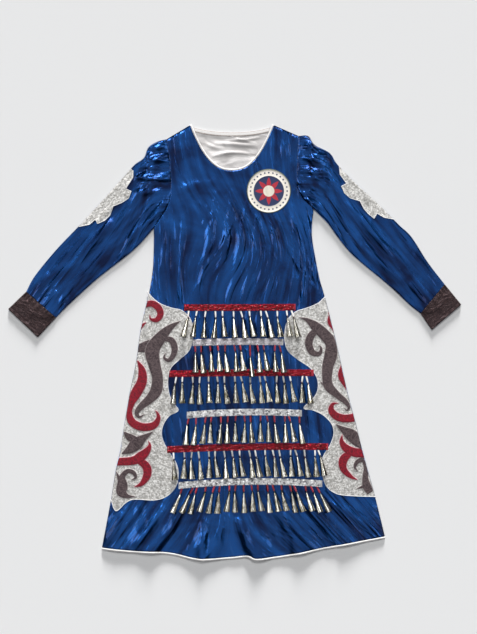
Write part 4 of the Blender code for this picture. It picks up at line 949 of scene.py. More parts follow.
# %% Sleeve tables
Sleeve = namedtuple("Sleeve", "side upper lower tips folds")
SLEEVES = [
    Sleeve("right", upper=table(Spot, [
        (-184, 547), (-208, 541), (-233, 525), (-245, 497), (-269, 479), (-295, 450), (-353, 385),
        (-418, 315), (-482, 248), (-539, 178), (-562, 136),
    ]), lower=table(Spot, [
        (-217, 308), (-255, 265), (-293, 231), (-369, 172), (-444, 104), (-482, 66),
    ]), tips=table(Spot, [(-611, 89), (-531, 13)]), folds=table(Fold, [
        (-176, 437, -275, 448, 4, 5.6, 11), (-180, 505, -240, 492, 4, 5.2, 10),
        (-186, 530, -226, 520, 0, 4.6, 9), (-178, 404, -290, 398, -4, 3.6, 12),
        (-180, 390, -232, 320, 4, 5.0, 10), (-215, 352, -300, 262, 4, 3.8, 12),
        (-280, 360, -440, 190, -8, 4.0, 14), (-330, 330, -520, 130, 4, 3.6, 14),
        (-340, 240, -470, 110, -6, 3.4, 13), (-500, 190, -545, 120, 0, 3.0, 9),
        (-478, 140, -520, 94, 0, 3.2, 9), (-180, 425, -290, 428, 3, 1.6, 4),
        (-182, 470, -250, 476, 3, 1.6, 4), (-190, 380, -250, 300, 3, 1.6, 4),
        (-310, 300, -430, 160, 6, 1.4, 5), (-380, 290, -510, 120, 5, 1.4, 5),
        (-300, 390, -400, 290, -3, 1.3, 5), (-430, 200, -500, 110, 3, 1.6, 5),
        (-455, 150, -476, 84, 0, 1.6, 5), (-178, 439, -272, 447, 2, 3.4, 4.5),
        (-180, 424, -268, 424, 1, 3.0, 4.5), (-180, 409, -262, 402, 0, 2.6, 4.5),
        (-180, 459, -262, 473, -2, 3.2, 4.5), (-182, 396, -230, 338, 2, 3.0, 4.5),
    ])),
    Sleeve("left", upper=table(Spot, [
        (172, 556), (198, 556), (216, 532), (256, 510), (276, 480), (321, 433), (393, 366), (443, 316),
        (477, 283), (520, 216), (566, 156),
    ]), lower=table(Spot, [
        (212, 359), (249, 322), (276, 285), (308, 245), (344, 212), (419, 150), (470, 102), (501, 77),
    ]), tips=table(Spot, [(611, 101), (531, 33)]), folds=table(Fold, [
        (176, 455, 262, 462, -4, 5.4, 11), (180, 500, 244, 488, -4, 5.4, 10),
        (184, 530, 228, 512, 0, 4.8, 9), (172, 432, 292, 404, 4, 4.4, 11),
        (176, 415, 232, 352, -4, 5.0, 10), (225, 372, 300, 290, -4, 3.6, 12),
        (300, 380, 440, 190, 8, 4.0, 14), (346, 340, 530, 120, -4, 3.8, 14),
        (330, 262, 480, 130, 6, 3.4, 13), (480, 240, 540, 150, 0, 3.0, 10),
        (470, 160, 512, 104, 0, 3.0, 9), (178, 446, 285, 424, 3, 1.6, 4),
        (182, 480, 250, 478, -3, 1.6, 4), (180, 424, 228, 340, -3, 1.6, 4),
        (330, 300, 440, 170, -5, 1.4, 5), (372, 300, 500, 130, -5, 1.4, 5),
        (420, 300, 540, 170, 4, 1.4, 5), (390, 226, 470, 140, 3, 1.5, 5), (340, 268, 420, 216, 3, 1.3, 5),
        (174, 446, 290, 428, 2, 3.6, 4.5), (175, 459, 234, 455, 1, 3.0, 4.5),
        (176, 430, 214, 388, 1, 3.2, 4.5), (184, 490, 264, 501, 6, 3.2, 4.5),
        (176, 524, 224, 522, 2, 3.0, 4.5),
    ])),
]
SEAM_GAP = 0.35
SLEEVE_FLAT, SLEEVE_EDGE_Z = 5.2, 2.7
CUFF_FLAT, CUFF_WALL = 6.6, 1.2
HEAD_PUFF, HEAD_PLEATS, HEAD_PLEAT_HEIGHT, HEAD_REACH = 7.0, 5, 2.6, 0.17
TUBE_ROUND = 7.0
ARMHOLE_FADE = 8


print("sleeves:", [sleeve.side for sleeve in SLEEVES])

# %% Plan, height and drape of a sleeve
def armhole_line(side):
    """The armhole seam from the shoulder down to the underarm."""
    if side == "right":
        ys = np.linspace(RIGHT_SHOULDER_Y, RIGHT_UNDERARM_Y, 60)
        return np.column_stack([right_x(ys) - SEAM_GAP, ys])
    ys = np.linspace(LEFT_SHOULDER_Y, LEFT_UNDERARM_Y, 60)
    return np.column_stack([left_x(ys) + SEAM_GAP, ys])


def sleeve_plan(sleeve, t, s):
    """The plan place of a point the fraction t along a sleeve and s across it, from its upper edge."""
    armhole = armhole_line(sleeve.side)
    upper, lower = smooth_curve(sleeve.upper, 8), smooth_curve(sleeve.lower, 8)
    upper = upper + armhole[0] - upper[0]
    lower = lower + armhole[-1] - lower[0]
    s, t = s[:, None], t[:, None]
    edges = (1 - s) * along(upper, t[:, 0]) + s * along(lower, t[:, 0])
    armhole_bend = along(armhole, s[:, 0]) - (armhole[0] + (armhole[-1] - armhole[0]) * s)
    return edges + armhole_bend * (1 - t) ** ARMHOLE_FADE


def sleeve_z(sleeve, x, y, t, s, edge_distance):
    """The height of the sleeve's upper layer away from its edges."""
    near_seam = 1 - np.exp(-t / 0.02)
    puff = HEAD_PUFF * hump(t, 0.09, 0.075) * hump(s, 0, 0.5) * near_seam
    pleat = HEAD_PLEAT_HEIGHT * np.cos(2 * np.pi * HEAD_PLEATS * s) * np.exp(-t / HEAD_REACH) * (s < 0.7)
    ripples = 1.3 * uneven(t, s, 0.22, 0.07, 5.3) + 0.5 * uneven(t, s, 0.08, 0.035, 2.9)
    dip = SEAM_DIP * hump(t, 0, 0.005)
    lift = puff + np.maximum(pleat, 0) * near_seam + folded(x, y, sleeve.folds) + ripples * near_seam - dip
    return SLEEVE_FLAT + lift * edge_rise(edge_distance)


def sleeve_lie(sleeve):
    """How a sleeve's creases run: straight out from the armhole, then down the arm.

    The gathered head is creased a little less than the arm, because its pleats are shaped already.
    """
    shoulder, wrist = np.array(sleeve.upper[0]), np.array(sleeve.tips).mean(axis=0)
    arm = (wrist - shoulder) / np.linalg.norm(wrist - shoulder)

    def lie(x, y):
        head = hump(np.abs(x), 180, 75)
        run = x * arm[0] + y * arm[1]
        over = y * arm[0] - x * arm[1]
        return (head * y * np.sign(arm[0]) + (1 - head) * over, head * np.abs(x) + (1 - head) * run,
                0.65 - 0.15 * head)

    return lie


print("the right armhole is", round(curve_length(armhole_line("right"))), "mm long when flat")

# %% A flat tube
def flat_tube(plan, height, width, edge_z, around):
    """Places a grid as a flat tube: u runs over the top and back underneath, v along it.

    Its edges are `edge_z` mm up, and the cloth rounds off within `around` mm of them.
    """
    def place(u, v):
        over = np.where(u < 0.5, 2 * u, 2 - 2 * u)
        s = 0.5 - 0.5 * np.cos(np.pi * over)
        points = plan(v, s)
        distance = np.minimum(s, 1 - s) * width(v)
        rounded = edge_rise(distance, around)
        top = edge_z + (height(points[:, 0], points[:, 1], v, s, distance) - edge_z) * rounded
        under = edge_z * (1 - rounded)
        return np.column_stack([points, np.where(u < 0.5, top, under)])
    return place


print("a sleeve's edges round off within", TUBE_ROUND, "mm")

# %% Sleeves
SLEEVE_AROUND, SLEEVE_ALONG = 160, 130
SLEEVE_CUT = {"right": (0.46, 0.52), "left": (0.42, 0.52)}
sleeve_pieces, cuff_pieces = {}, {}


def sleeve_width(sleeve, t):
    """The width of the flat sleeve at the fraction t along it."""
    ends = [sleeve_plan(sleeve, t, np.full_like(t, s)) for s in (0.0, 1.0)]
    return np.linalg.norm(ends[1] - ends[0], axis=1)


for sleeve in SLEEVES:
    place = flat_tube(partial(sleeve_plan, sleeve), partial(sleeve_z, sleeve), partial(sleeve_width, sleeve),
                      SLEEVE_EDGE_Z, TUBE_ROUND)
    cloth = cloth_grid(SLEEVE_AROUND, SLEEVE_ALONG, place, SLEEVE_CUT[sleeve.side], closed=True)
    drape_map(cloth, sleeve_lie(sleeve))
    face_out(cloth)
    sleeve_pieces[sleeve.side] = piece(f"{sleeve.side}_sleeve_cloth", cloth, [BLUE_LAME, LINING],
                                       [f"{sleeve.side}_sleeve"], "blue_cloth", CLOTH)

# %% Cuffs
CUFF_AROUND, CUFF_ALONG = 96, 36
CUFF_CUT = (0.22, 0.075)
CUFF_PUCKERS = 9


def cuff_place(sleeve):
    """A flat band from the end of the sleeve to the wrist's two tips, puckered where it is sewn on."""
    start = sleeve_plan(sleeve, np.ones(2), np.array([0.0, 1.0]))
    tips = np.array(sleeve.tips, float)
    gap = SEAM_GAP / np.linalg.norm(tips[0] - start[0])
    width = np.linalg.norm(tips[1] - tips[0])

    def plan(t, s):
        t, s = (gap + (1 - gap) * t)[:, None], s[:, None]
        return (start[0] + (tips[0] - start[0]) * t) * (1 - s) + (start[1] + (tips[1] - start[1]) * t) * s

    def height(x, y, t, s, distance):
        flat = CUFF_FLAT * (1 - 0.12 * np.abs(2 * s - 1) ** 3)
        puckers = np.sin(2 * np.pi * CUFF_PUCKERS * s + 2 * np.sin(7 * s)) * np.exp(-t / 0.2) * 0.7
        hem = 0.5 * hump(t, 0.97, 0.03) - 0.5 * hump(t, 0.86, 0.02)
        return flat + puckers + hem + 0.6 * uneven(t, s, 0.3, 0.12, 8.8)

    return flat_tube(plan, height, lambda t: np.full_like(t, width), CUFF_FLAT / 2, CUFF_FLAT / 2)


for sleeve in SLEEVES:
    cloth = cloth_grid(CUFF_AROUND, CUFF_ALONG, cuff_place(sleeve), CUFF_CUT, closed=True)
    face_out(cloth)
    cuff_pieces[sleeve.side] = piece(f"{sleeve.side}_cuff_cloth", cloth, [CUFF_FOIL],
                                     [f"{sleeve.side}_cuff"], "cuff_cloth", CUFF_WALL)

# %% [markdown]
# ## Bindings
#
# A binding is a narrow strip folded over a raw edge, so it looks like a flat bead. Each one is a grid
# rolled into a slim tube along the edge. The back's neckline has a wider band sewn flat inside it.

# %% Neck and hem bindings
BINDING_WIDTH, BINDING_PROUD, BINDING_UNDER = 5.0, 0.4, 1.7
NECK_LEAST_TOP, NECK_LEAST_LOW = 4.2, 2.8
BACK_BAND_WIDTH, BACK_BAND_LENGTH, BACK_BAND_TOP, BACK_BAND_INSET = 11.0, 200.0, 2.5, 14.0
BACK_BAND_GRID, BACK_BAND_CLOTH = (14, 90), 0.8
BINDING_AROUND, NECK_STEPS, HEM_STEPS, BACK_HEM_STEPS = 12, 140, 220, 160
BACK_HEM_TOP, HEM_CLEARANCE = 1.6, 0.3


def bead(curve, low, high, width, steps, push):
    """A closed slim tube along a plan curve, `push` mm to its left at its middle, between two heights."""
    length = curve_length(curve) * MM

    def place(u, v):
        turn = 2 * np.pi * u
        middle, half = (low(v) + high(v)) / 2, (high(v) - low(v)) / 2
        side = push + width / 2 * np.cos(turn)
        spots = along(curve, v)[:, :2] + left_of(curve, v) * side[:, None]
        return np.column_stack([spots, middle + half * np.sin(turn)])

    bm = cloth_grid(BINDING_AROUND, steps, place, (2.4 * width * MM, length), closed=True)
    bmesh.ops.holes_fill(bm, edges=bm.edges, sides=BINDING_AROUND + 1)
    bmesh.ops.recalc_face_normals(bm, faces=bm.faces)
    return bm


def edge_height(curve, rise, least):
    """A function of the fraction along an edge of the front: its height, raised, and at least so much."""
    heights = front_z(*curve.T)
    return lambda v: np.maximum(np.interp(along(curve, v)[:, 0], curve[:, 0], heights) + rise, least)


neck_xs = np.linspace(RIGHT_NECK_X, LEFT_NECK_X, 120)
neck_curve = np.column_stack([neck_xs, front_top_y(neck_xs)])
neck_bead = bead(neck_curve, edge_height(neck_curve, -BINDING_UNDER, NECK_LEAST_LOW),
                 edge_height(neck_curve, BINDING_PROUD, NECK_LEAST_TOP), BINDING_WIDTH, NECK_STEPS,
                 SEAM_GAP + BINDING_WIDTH / 2)
neck_binding = piece("neck_binding_cotton", neck_bead, [BINDING], ["neck_binding_front"], "white_binding")

# %% Hem bindings and the band inside the back's neckline
def level(z):
    """The same height all along an edge."""
    return lambda v: np.full_like(v, z)


hem_ends = across(np.array([0.0, 1.0]), np.array([HEM[0].y, HEM[-1].y]))
hem_xs = np.linspace(*hem_ends, 160)
hem_curve = np.column_stack([hem_xs, hem_y(hem_xs)])
back_hem_drop = BACK_HEM_DROP * np.sin(np.pi * np.linspace(0, 1, len(hem_xs)))
back_hem_curve = hem_curve - np.column_stack([0 * hem_xs, back_hem_drop])
hem_push = -SEAM_GAP - BINDING_WIDTH / 2
hem_bead = bead(hem_curve, edge_height(hem_curve, -BINDING_UNDER, BACK_HEM_TOP + HEM_CLEARANCE),
                edge_height(hem_curve, BINDING_PROUD, 0.0), BINDING_WIDTH, HEM_STEPS, hem_push)
back_hem_bead = bead(back_hem_curve, level(0.0), level(BACK_HEM_TOP), BINDING_WIDTH, BACK_HEM_STEPS,
                     hem_push)
hem_binding = piece("front_hem_cotton", hem_bead, [BINDING], ["hem_binding_front"], "white_binding")
back_hem_binding = piece("back_hem_cotton", back_hem_bead, [BINDING], ["hem_binding_back"], "white_binding")


def back_band_place(u, v):
    """A band under the back's top edge, pressed in a little along its two rows of stitches."""
    x = RIGHT_NECK_X + BACK_BAND_INSET + (LEFT_NECK_X - RIGHT_NECK_X - 2 * BACK_BAND_INSET) * v
    y = back_top_y(x) - BACK_BAND_WIDTH * u
    stitched = 0.3 * (hump(u, 0.12, 0.05) + hump(u, 0.88, 0.05))
    return np.column_stack([x, y, BACK_BAND_TOP - stitched])


band_cloth = cloth_grid(*BACK_BAND_GRID, back_band_place, (BACK_BAND_WIDTH * MM, BACK_BAND_LENGTH * MM))
bmesh.ops.reverse_faces(band_cloth, faces=band_cloth.faces)
back_band = piece("back_neck_band_cotton", band_cloth, [STITCHED], ["neck_binding_back"],
                  "white_binding", BACK_BAND_CLOTH)

# %% [markdown]
# ## Side panels and sleeve panels
#
# The silver panels are cut with scallops and points and sewn flat on the blue, so they follow its folds
# a little above them. Each is a grid stretched from its scalloped edge to the side seam. A satin-stitched
# cord covers the raw scalloped edge.

# %% Panel edges
PANEL_TOP = 1.4
RIGHT_PANEL_EDGE = table(Spot, [
    (-236, 136), (-220, 118), (-200, 103), (-172, 92), (-143, 85), (-122, 66), (-113, 40), (-113, 6),
    (-124, -24), (-150, -48), (-172, -70), (-180, -100), (-178, -134), (-168, -162), (-152, -184),
    (-176, -199), (-192, -222), (-197, -248), (-190, -274), (-172, -304), (-156, -332), (-152, -362),
    (-160, -392), (-184, -416), (-216, -426), (-268, -424), (-292, -432), (-320, -455), (-334, -424),
])
LEFT_PANEL_EDGE = table(Spot, [
    (244, 122), (224, 104), (196, 92), (166, 82), (146, 64), (136, 34), (135, 4), (144, -24),
    (172, -48), (204, -70), (222, -98), (224, -128), (212, -152), (186, -178), (212, -184), (240, -198),
    (262, -222), (267, -248), (258, -276), (240, -306), (235, -332), (238, -364), (250, -392),
    (278, -410), (322, -415), (382, -417),
])
RIGHT_SLEEVE_PANEL = table(Spot, [
    (-274, 462), (-274, 444), (-294, 413), (-279, 406), (-286, 388), (-304, 376), (-328, 366),
    (-336, 342), (-350, 328), (-370, 319), (-374, 332), (-391, 317), (-420, 311),
])
LEFT_SLEEVE_PANEL = table(Spot, [
    (282, 474), (284, 452), (302, 427), (288, 420), (296, 402), (312, 388), (338, 380), (348, 360),
    (360, 346), (376, 333), (384, 347), (402, 336), (428, 331),
])
SIDE_PANEL_GRID, SLEEVE_PANEL_GRID = (44, 240), (20, 120)
PANEL_INSET = 1.0
PANEL_CORD, CORD_PROUD = 0.9, 0.5
SIDE_PANEL_CUT, SLEEVE_PANEL_CUT = (0.225, 0.6), (0.06, 0.21)
print("side panel edges have", len(RIGHT_PANEL_EDGE), "and", len(LEFT_PANEL_EDGE), "points")

# %% Side panels
side_panels, panel_areas = {}, {}


def silver_panel(name, inner, outer, surface, grid, cut):
    """A panel between its scalloped inner edge and its outer edge, with a cord on the scallops.

    A row may slant, because both edges are followed at the same fraction of their length. The panel's
    area on one side is kept, in square metres.
    """
    def place(u, v):
        a, b = along(inner, v), along(outer, v)
        spots = a + (b - a) * u[:, None]
        return np.column_stack([spots, surface(spots[:, 0], spots[:, 1]) + PANEL_TOP])

    def cord_top(v):
        return surface(*along(inner, v).T) + PANEL_TOP + CORD_PROUD

    cloth = cloth_grid(*grid, place, cut)
    panel_areas[f"{name}_cloth"] = sum(face.calc_area() for face in cloth.faces)
    thicken(cloth, CLOTH)
    cord = bead(inner, lambda v: cord_top(v) - 2 * PANEL_CORD, cord_top, 2 * PANEL_CORD, 2 * grid[1], 0.0)
    panel = piece(f"{name}_cloth", joined([cloth, second_finish(cord)]), [SILVER_CLOTH, BINDING], [name],
                  "silver_cloth")
    shade_by_area(panel)
    return panel


def side_outer(edge, x_at):
    """The side seam's stretch between a panel's two ends."""
    ys = np.linspace(edge[0].y, edge[-1].y, 80)
    inset = PANEL_INSET if x_at is right_x else -PANEL_INSET
    return np.column_stack([x_at(ys) + inset, ys])


for side, edge, x_at in (("right", RIGHT_PANEL_EDGE, right_x), ("left", LEFT_PANEL_EDGE, left_x)):
    side_panels[side] = silver_panel(f"{side}_side_panel", smooth_curve(edge, 8), side_outer(edge, x_at),
                                     front_z, SIDE_PANEL_GRID, SIDE_PANEL_CUT)

# %% [markdown]
# ## Finding the height of what lies below
#
# What lies on the dress has to rest on it. A ray shot straight down from above meets the highest
# surface under a point. A BVH tree makes thousands of such rays quick.

# %% Heights by rays
SKY = 60.0


def surface_under(objects):
    """A function that gives the height in mm of the highest of these pieces under plan points."""
    bpy.context.view_layer.update()
    graph = bpy.context.evaluated_depsgraph_get()
    trees = [BVHTree.FromObject(obj, graph) for obj in objects]

    def height_at(x, y):
        hits = [tree.ray_cast((x * MM, y * MM, SKY * MM), (0, 0, -1))[0] for tree in trees]
        return max([hit.z / MM for hit in hits if hit is not None], default=0.0)

    def heights(xs, ys):
        return np.array([height_at(x, y) for x, y in zip(xs, ys)])

    return heights


sleeve_tops = {side: surface_under([obj]) for side, obj in sleeve_pieces.items()}
print("sleeve height at one point:", round(float(sleeve_tops["right"]([-300], [350])[0]), 1), "mm")

# %% Sleeve panels
EDGE_STEP = 4.0
FOLDED_EDGE = 0.002
sleeve_panels = {}


def nearest_fraction(curve, spot):
    """How far along a curve its nearest point to the spot is, as a fraction of its length."""
    fractions = np.linspace(0, 1, 600)
    return float(fractions[np.argmin(np.linalg.norm(along(curve, fractions) - np.array(spot), axis=1))])


def sleeve_surface(side):
    """The sleeve's height, kept up to its folded edge, so that the panel doesn't drop off there."""
    inwards = EDGE_STEP * np.array([0.7 if side == "right" else -0.7, -0.7])

    def heights(x, y):
        return np.maximum(sleeve_tops[side](x, y), sleeve_tops[side](x + inwards[0], y + inwards[1]))

    return heights


for sleeve, edge in zip(SLEEVES, (RIGHT_SLEEVE_PANEL, LEFT_SLEEVE_PANEL)):
    upper = sleeve_plan(sleeve, np.linspace(0, 1, 300), np.full(300, FOLDED_EDGE))
    start, end = nearest_fraction(upper, edge[0]), nearest_fraction(upper, edge[-1])
    outer = along(upper, np.linspace(start, end, 80))
    inner = np.vstack([smooth_curve(edge[k:k + 2], 6) for k in range(len(edge) - 1)])
    sleeve_panels[sleeve.side] = silver_panel(f"{sleeve.side}_sleeve_panel", inner, outer,
                                              sleeve_surface(sleeve.side), SLEEVE_PANEL_GRID,
                                              SLEEVE_PANEL_CUT)

# %% [markdown]
# ## Scrolls
#
# Each scroll is cut from one piece of cloth and sewn down with a satin stitch all round. It is a strip
# that swells and narrows along a curve, and some scrolls have a branch. The table gives a few points
# down the middle of each stroke, with the width there.

# %% Scroll tables
Scroll = namedtuple("Scroll", "name finish strokes")
# A stroke's points are x, y and the width there
SCROLLS = table(Scroll, [
    ("right_scroll_1", "red", [
        [(-246, 98, 14), (-225, 104, 19), (-207, 94, 20), (-200, 76, 19), (-210, 60, 15), (-226, 62, 8),
         (-229, 74, 2)],
        [(-238, 53, 2), (-247, 47, 9), (-258, 37, 13)]]),
    ("right_scroll_2", "taupe", [
        [(-146, 57, 2), (-174, 39, 19), (-200, 12, 33), (-222, -22, 40), (-216, -62, 34),
         (-208, -96, 31), (-212, -130, 33), (-229, -153, 26), (-252, -173, 19), (-264, -190, 14),
         (-257, -202, 9), (-242, -194, 2)],
        [(-196, 8, 12), (-172, 6, 18), (-162, -15, 19), (-166, -36, 16), (-178, -49, 12),
         (-190, -42, 8), (-186, -29, 2)],
        [(-204, -8, 44), (-230, -11, 36), (-264, -18, 20)],
        [(-206, -112, 18), (-197, -120, 10), (-191, -132, 2)]]),
    ("right_scroll_3", "red", [
        [(-262, -50, 4), (-250, -76, 21), (-250, -106, 28), (-265, -136, 30), (-280, -163, 24),
         (-285, -190, 19), (-276, -216, 23), (-249, -229, 23), (-219, -225, 21), (-206, -207, 14),
         (-208, -192, 8), (-215, -184, 2)]]),
    ("right_scroll_4", "taupe", [
        [(-219, -241, 2), (-244, -257, 19), (-264, -273, 36), (-282, -289, 25), (-304, -301, 5)],
        [(-264, -266, 22), (-284, -256, 21), (-298, -243, 6)]]),
    ("right_scroll_5", "red", [
        [(-325, -323, 22), (-276, -320, 24), (-252, -308, 28), (-234, -290, 18), (-229, -277, 9),
         (-233, -266, 2)],
        [(-262, -317, 18), (-239, -334, 24), (-236, -358, 23), (-251, -382, 14), (-272, -391, 2)]]),
    ("right_scroll_6", "taupe", [
        [(-279, -372, 2), (-267, -365, 9), (-273, -352, 13), (-289, -348, 14), (-303, -363, 18),
         (-303, -386, 31), (-304, -404, 30), (-290, -415, 14), (-267, -417, 2)],
        [(-308, -376, 16), (-319, -350, 3)]]),
    ("left_scroll_1", "red", [
        [(256, 80, 2), (257, 54, 15), (270, 28, 4)]]),
    ("left_scroll_2", "taupe", [
        [(173, 67, 2), (196, 59, 13), (218, 42, 28), (242, 20, 32), (260, -4, 33), (259, -35, 36),
         (251, -65, 32), (249, -96, 28), (254, -120, 27), (276, -142, 20), (297, -159, 16),
         (308, -175, 10), (302, -184, 6), (295, -176, 2)],
        [(220, 33, 18), (204, 14, 22), (200, -7, 22), (210, -28, 19), (228, -31, 13), (233, -17, 8),
         (226, -7, 2)],
        [(250, -118, 14), (238, -113, 9), (231, -107, 2)]]),
    ("left_scroll_3", "red", [
        [(287, -60, 2), (287, -92, 18), (302, -130, 2)]]),
    ("left_scroll_4", "red", [
        [(280, -165, 2), (265, -167, 10), (260, -183, 18), (273, -199, 22), (297, -206, 23),
         (332, -202, 24)]]),
    ("left_scroll_5", "taupe", [
        [(272, -221, 2), (293, -236, 19), (313, -250, 34), (334, -268, 33), (347, -286, 16)]]),
    ("left_scroll_6", "red", [
        [(290, -249, 2), (288, -267, 13), (299, -285, 22), (322, -297, 26), (356, -300, 26)],
        [(311, -298, 18), (293, -317, 25), (293, -341, 20), (311, -361, 13), (332, -372, 2)]]),
    ("left_scroll_7", "taupe", [
        [(333, -349, 2), (324, -337, 9), (331, -322, 13), (347, -318, 15), (356, -338, 18),
         (352, -363, 17), (356, -388, 25), (367, -405, 22)],
        [(356, -386, 16), (328, -396, 2)]]),
])
SCROLL_TOP, SCROLL_DOME, BRANCH_DROP = 2.7, 0.35, 0.15
SCROLL_ACROSS, SCROLL_STEP = 10, 3.0
SCROLL_FINISHES = {"red": (RED_APPLIQUE, "red_applique"), "taupe": (TAUPE_APPLIQUE, "taupe_applique")}
BODY_INSET = 1.5
print(len(SCROLLS), "scrolls")

# %% Scrolls sewn on
def stroke_cloth(stroke, top):
    """One stroke of a scroll, kept inside the body's side edges."""
    curve = smooth_curve(stroke, 10)
    length = curve_length(curve)

    def place(u, v):
        middle = along(curve, v)
        half = np.maximum(middle[:, 2], 0.4) / 2
        side = (2 * u - 1) * half
        spots = middle[:, :2] + left_of(curve, v) * side[:, None]
        y = spots[:, 1]
        spots[:, 0] = np.clip(spots[:, 0], right_x(y) + BODY_INSET, left_x(y) - BODY_INSET)
        rim = half * (1 - np.abs(2 * u - 1))
        dome = SCROLL_DOME * np.clip(rim / 3, 0, 1)
        return np.column_stack([spots, front_z(*spots.T) + top - SCROLL_DOME + dome, rim])

    rows = int(length / SCROLL_STEP)
    cloth = cloth_grid(SCROLL_ACROSS, rows, place, (0.02, length * MM))
    face_out(cloth)
    return cloth


scroll_pieces = {}
for scroll in SCROLLS:
    parts = [stroke_cloth(stroke, SCROLL_TOP - BRANCH_DROP * k) for k, stroke in enumerate(scroll.strokes)]
    finish, slot = SCROLL_FINISHES[scroll.finish]
    scroll_pieces[scroll.name] = piece(f"{scroll.name}_cloth", joined(parts), [finish], [scroll.name], slot,
                                       CLOTH)

# %% [markdown]
# ## Bands and sequins
#
# Each row of cones hangs from a tape, and a band of sewn sequins covers it. The band is a slightly
# crowned ribbon. Sequins are punched discs with a shallow cup, sewn overlapping in rows, and no two lie
# at quite the same tilt, which is why they sparkle. Each is a tiny cone with seven sides.

# %% Rows of jingles
Row = namedtuple("Row", "band finish x0 x1 y0 y_mid y1 count first last lean_right lean_mid lean_left")
ROWS = [
    Row("band_1", "red", -136, 164, 93, 93, 94, 13, -125, 160, -15, 12, 12),
    Row("band_2", "silver", -113, 131, -2, 1, 0, 12, -110, 124, 5, 8, 8),
    Row("band_3", "red", -176, 213, -86, -83, -83, 17, -160, 198, -6, 10, 6),
    Row("band_4", "silver", -129, 181, -197, -189, -192, 15, -123, 172, -10, 0, 12),
    Row("band_5", "red", -182, 252, -290, -283, -282, 19, -160, 232, -1, 12, 10),
    Row("band_6", "silver", -151, 236, -387, -376, -382, 19, -138, 226, -30, 6, 28),
]
BAND_WIDTH, BAND_TOP = 17.5, 2.3
TAPE_TOP = 1.3
SEQUIN_RADIUS, SEQUIN_PITCH, SEQUIN_ROWS = 2.3, 3.6, 5
SEQUIN_SIDES = 7


def row_y(row, x):
    """The middle line of a band, bowed between its two ends."""
    t = (x - row.x0) / (row.x1 - row.x0)
    return row.y0 * (1 - t) + row.y1 * t + (row.y_mid - (row.y0 + row.y1) / 2) * 4 * t * (1 - t)


def band_heights(row, heights, margin):
    """Sample places along a band, and the highest surface under its width near each of them."""
    xs = np.arange(row.x0, row.x1 + 3, 3.0)
    spans = [heights(xs, row_y(row, xs) + BAND_WIDTH / 2 * part) for part in (-1, -0.5, 0, 0.5, 1)]
    tops = np.max(spans, axis=0)
    padded = np.pad(tops, 3, mode="edge")
    return xs, np.array([padded[k:k + 7].mean() for k in range(len(tops))]) + margin


print("rows of", [row.count for row in ROWS], "cones")

# %% A band with its sequins
def sequins(row, xs, tops):
    """Overlapping sequins in rows along a band, each tilted its own way."""
    bm = bmesh.new()
    per_row = int((row.x1 - row.x0 - 2 * SEQUIN_RADIUS) / SEQUIN_PITCH)
    for line in range(SEQUIN_ROWS):
        offset = (line - (SEQUIN_ROWS - 1) / 2) * (BAND_WIDTH - SEQUIN_RADIUS * 1.6) / (SEQUIN_ROWS - 1)
        for k in range(per_row):
            x = row.x0 + SEQUIN_RADIUS + SEQUIN_PITCH * (k + 0.5 * (line % 2))
            y = row_y(row, x) + offset + 0.4 * math.sin(3.7 * k + line)
            z = float(np.interp(x, xs, tops)) + 0.55 + 0.25 * math.cos(1.1 * offset / BAND_WIDTH * math.pi)
            tilt = 0.16 * math.sin(12.9 * k + 4.1 * line), 0.2 + 0.16 * math.sin(7.3 * k + 9.7 * line)
            matrix = Matrix.Translation(Vector((x, y, z)) * MM)
            matrix = matrix @ Matrix.Rotation(tilt[0], 4, "X") @ Matrix.Rotation(tilt[1], 4, "Y")
            bmesh.ops.create_cone(bm, segments=SEQUIN_SIDES, radius1=SEQUIN_RADIUS * MM, radius2=0.0003,
                                  depth=0.0005, cap_ends=True, matrix=matrix)
    return bm


def band_cloth_grid(row, xs, tops):
    """The band itself: a slightly crowned ribbon."""
    length = (row.x1 - row.x0) * MM

    def place(u, v):
        x = row.x0 + (row.x1 - row.x0) * u
        y = row_y(row, x) + BAND_WIDTH * (v - 0.5)
        crown = 0.5 * (1 - (2 * v - 1) ** 2)
        return np.column_stack([x, y, np.interp(x, xs, tops) + crown])

    cloth = cloth_grid(int((row.x1 - row.x0) / 3), 6, place, (length, BAND_WIDTH * MM))
    thicken(cloth, 0.8)
    return cloth


under_bands = surface_under([front, *side_panels.values(), *scroll_pieces.values()])
band_pieces = {}
for row in ROWS:
    xs, tops = band_heights(row, under_bands, BAND_TOP)
    discs = second_finish(sequins(row, xs, tops))
    cloth = band_cloth_grid(row, xs, tops)
    ribbon, foil = (RED_RIBBON, RED_SEQUINS) if row.finish == "red" else (WHITE_RIBBON, SILVER_SEQUINS)
    foil = DULL_SEQUINS if row.band == "band_2" else foil
    band_pieces[row.band] = piece(f"{row.band}_sequins", joined([cloth, discs]), [ribbon, foil], [row.band],
                                  f"{row.finish}_band", faceted=True)

# %% [markdown]
# ## Jingles
#
# A jingle is a trapezoid of tinned steel rolled into a cone round a folded ribbon, with its edges
# overlapping in a seam. Rolling leaves narrow flats down its sides, which catch the light one by one.
# The grid rolls up by a little more than one turn and widens as it goes, so the lap shows. The cone is
# made once and set down along every row, where each one turns, leans and hangs a little differently.

# %% A rolled cone
CONE_LENGTH, CONE_TOP_RADIUS, CONE_MOUTH_RADIUS = 57.0, 2.0, 9.1
CONE_SHEET, CONE_CUT_WIDTH, CONE_GRID = 0.4, 45.0, (23, 7)
CONE_TURN, CONE_FLATS = 1.09, 7
LOOP_LENGTH, LOOP_HALF_WIDTH, LOOP_UNDER_BAND, LOOP_IN_CONE = 16.0, 2.3, 3.0, 4.0
LOOP_CUT = (0.009, 0.02)
CONE_CLEARANCE = 0.5


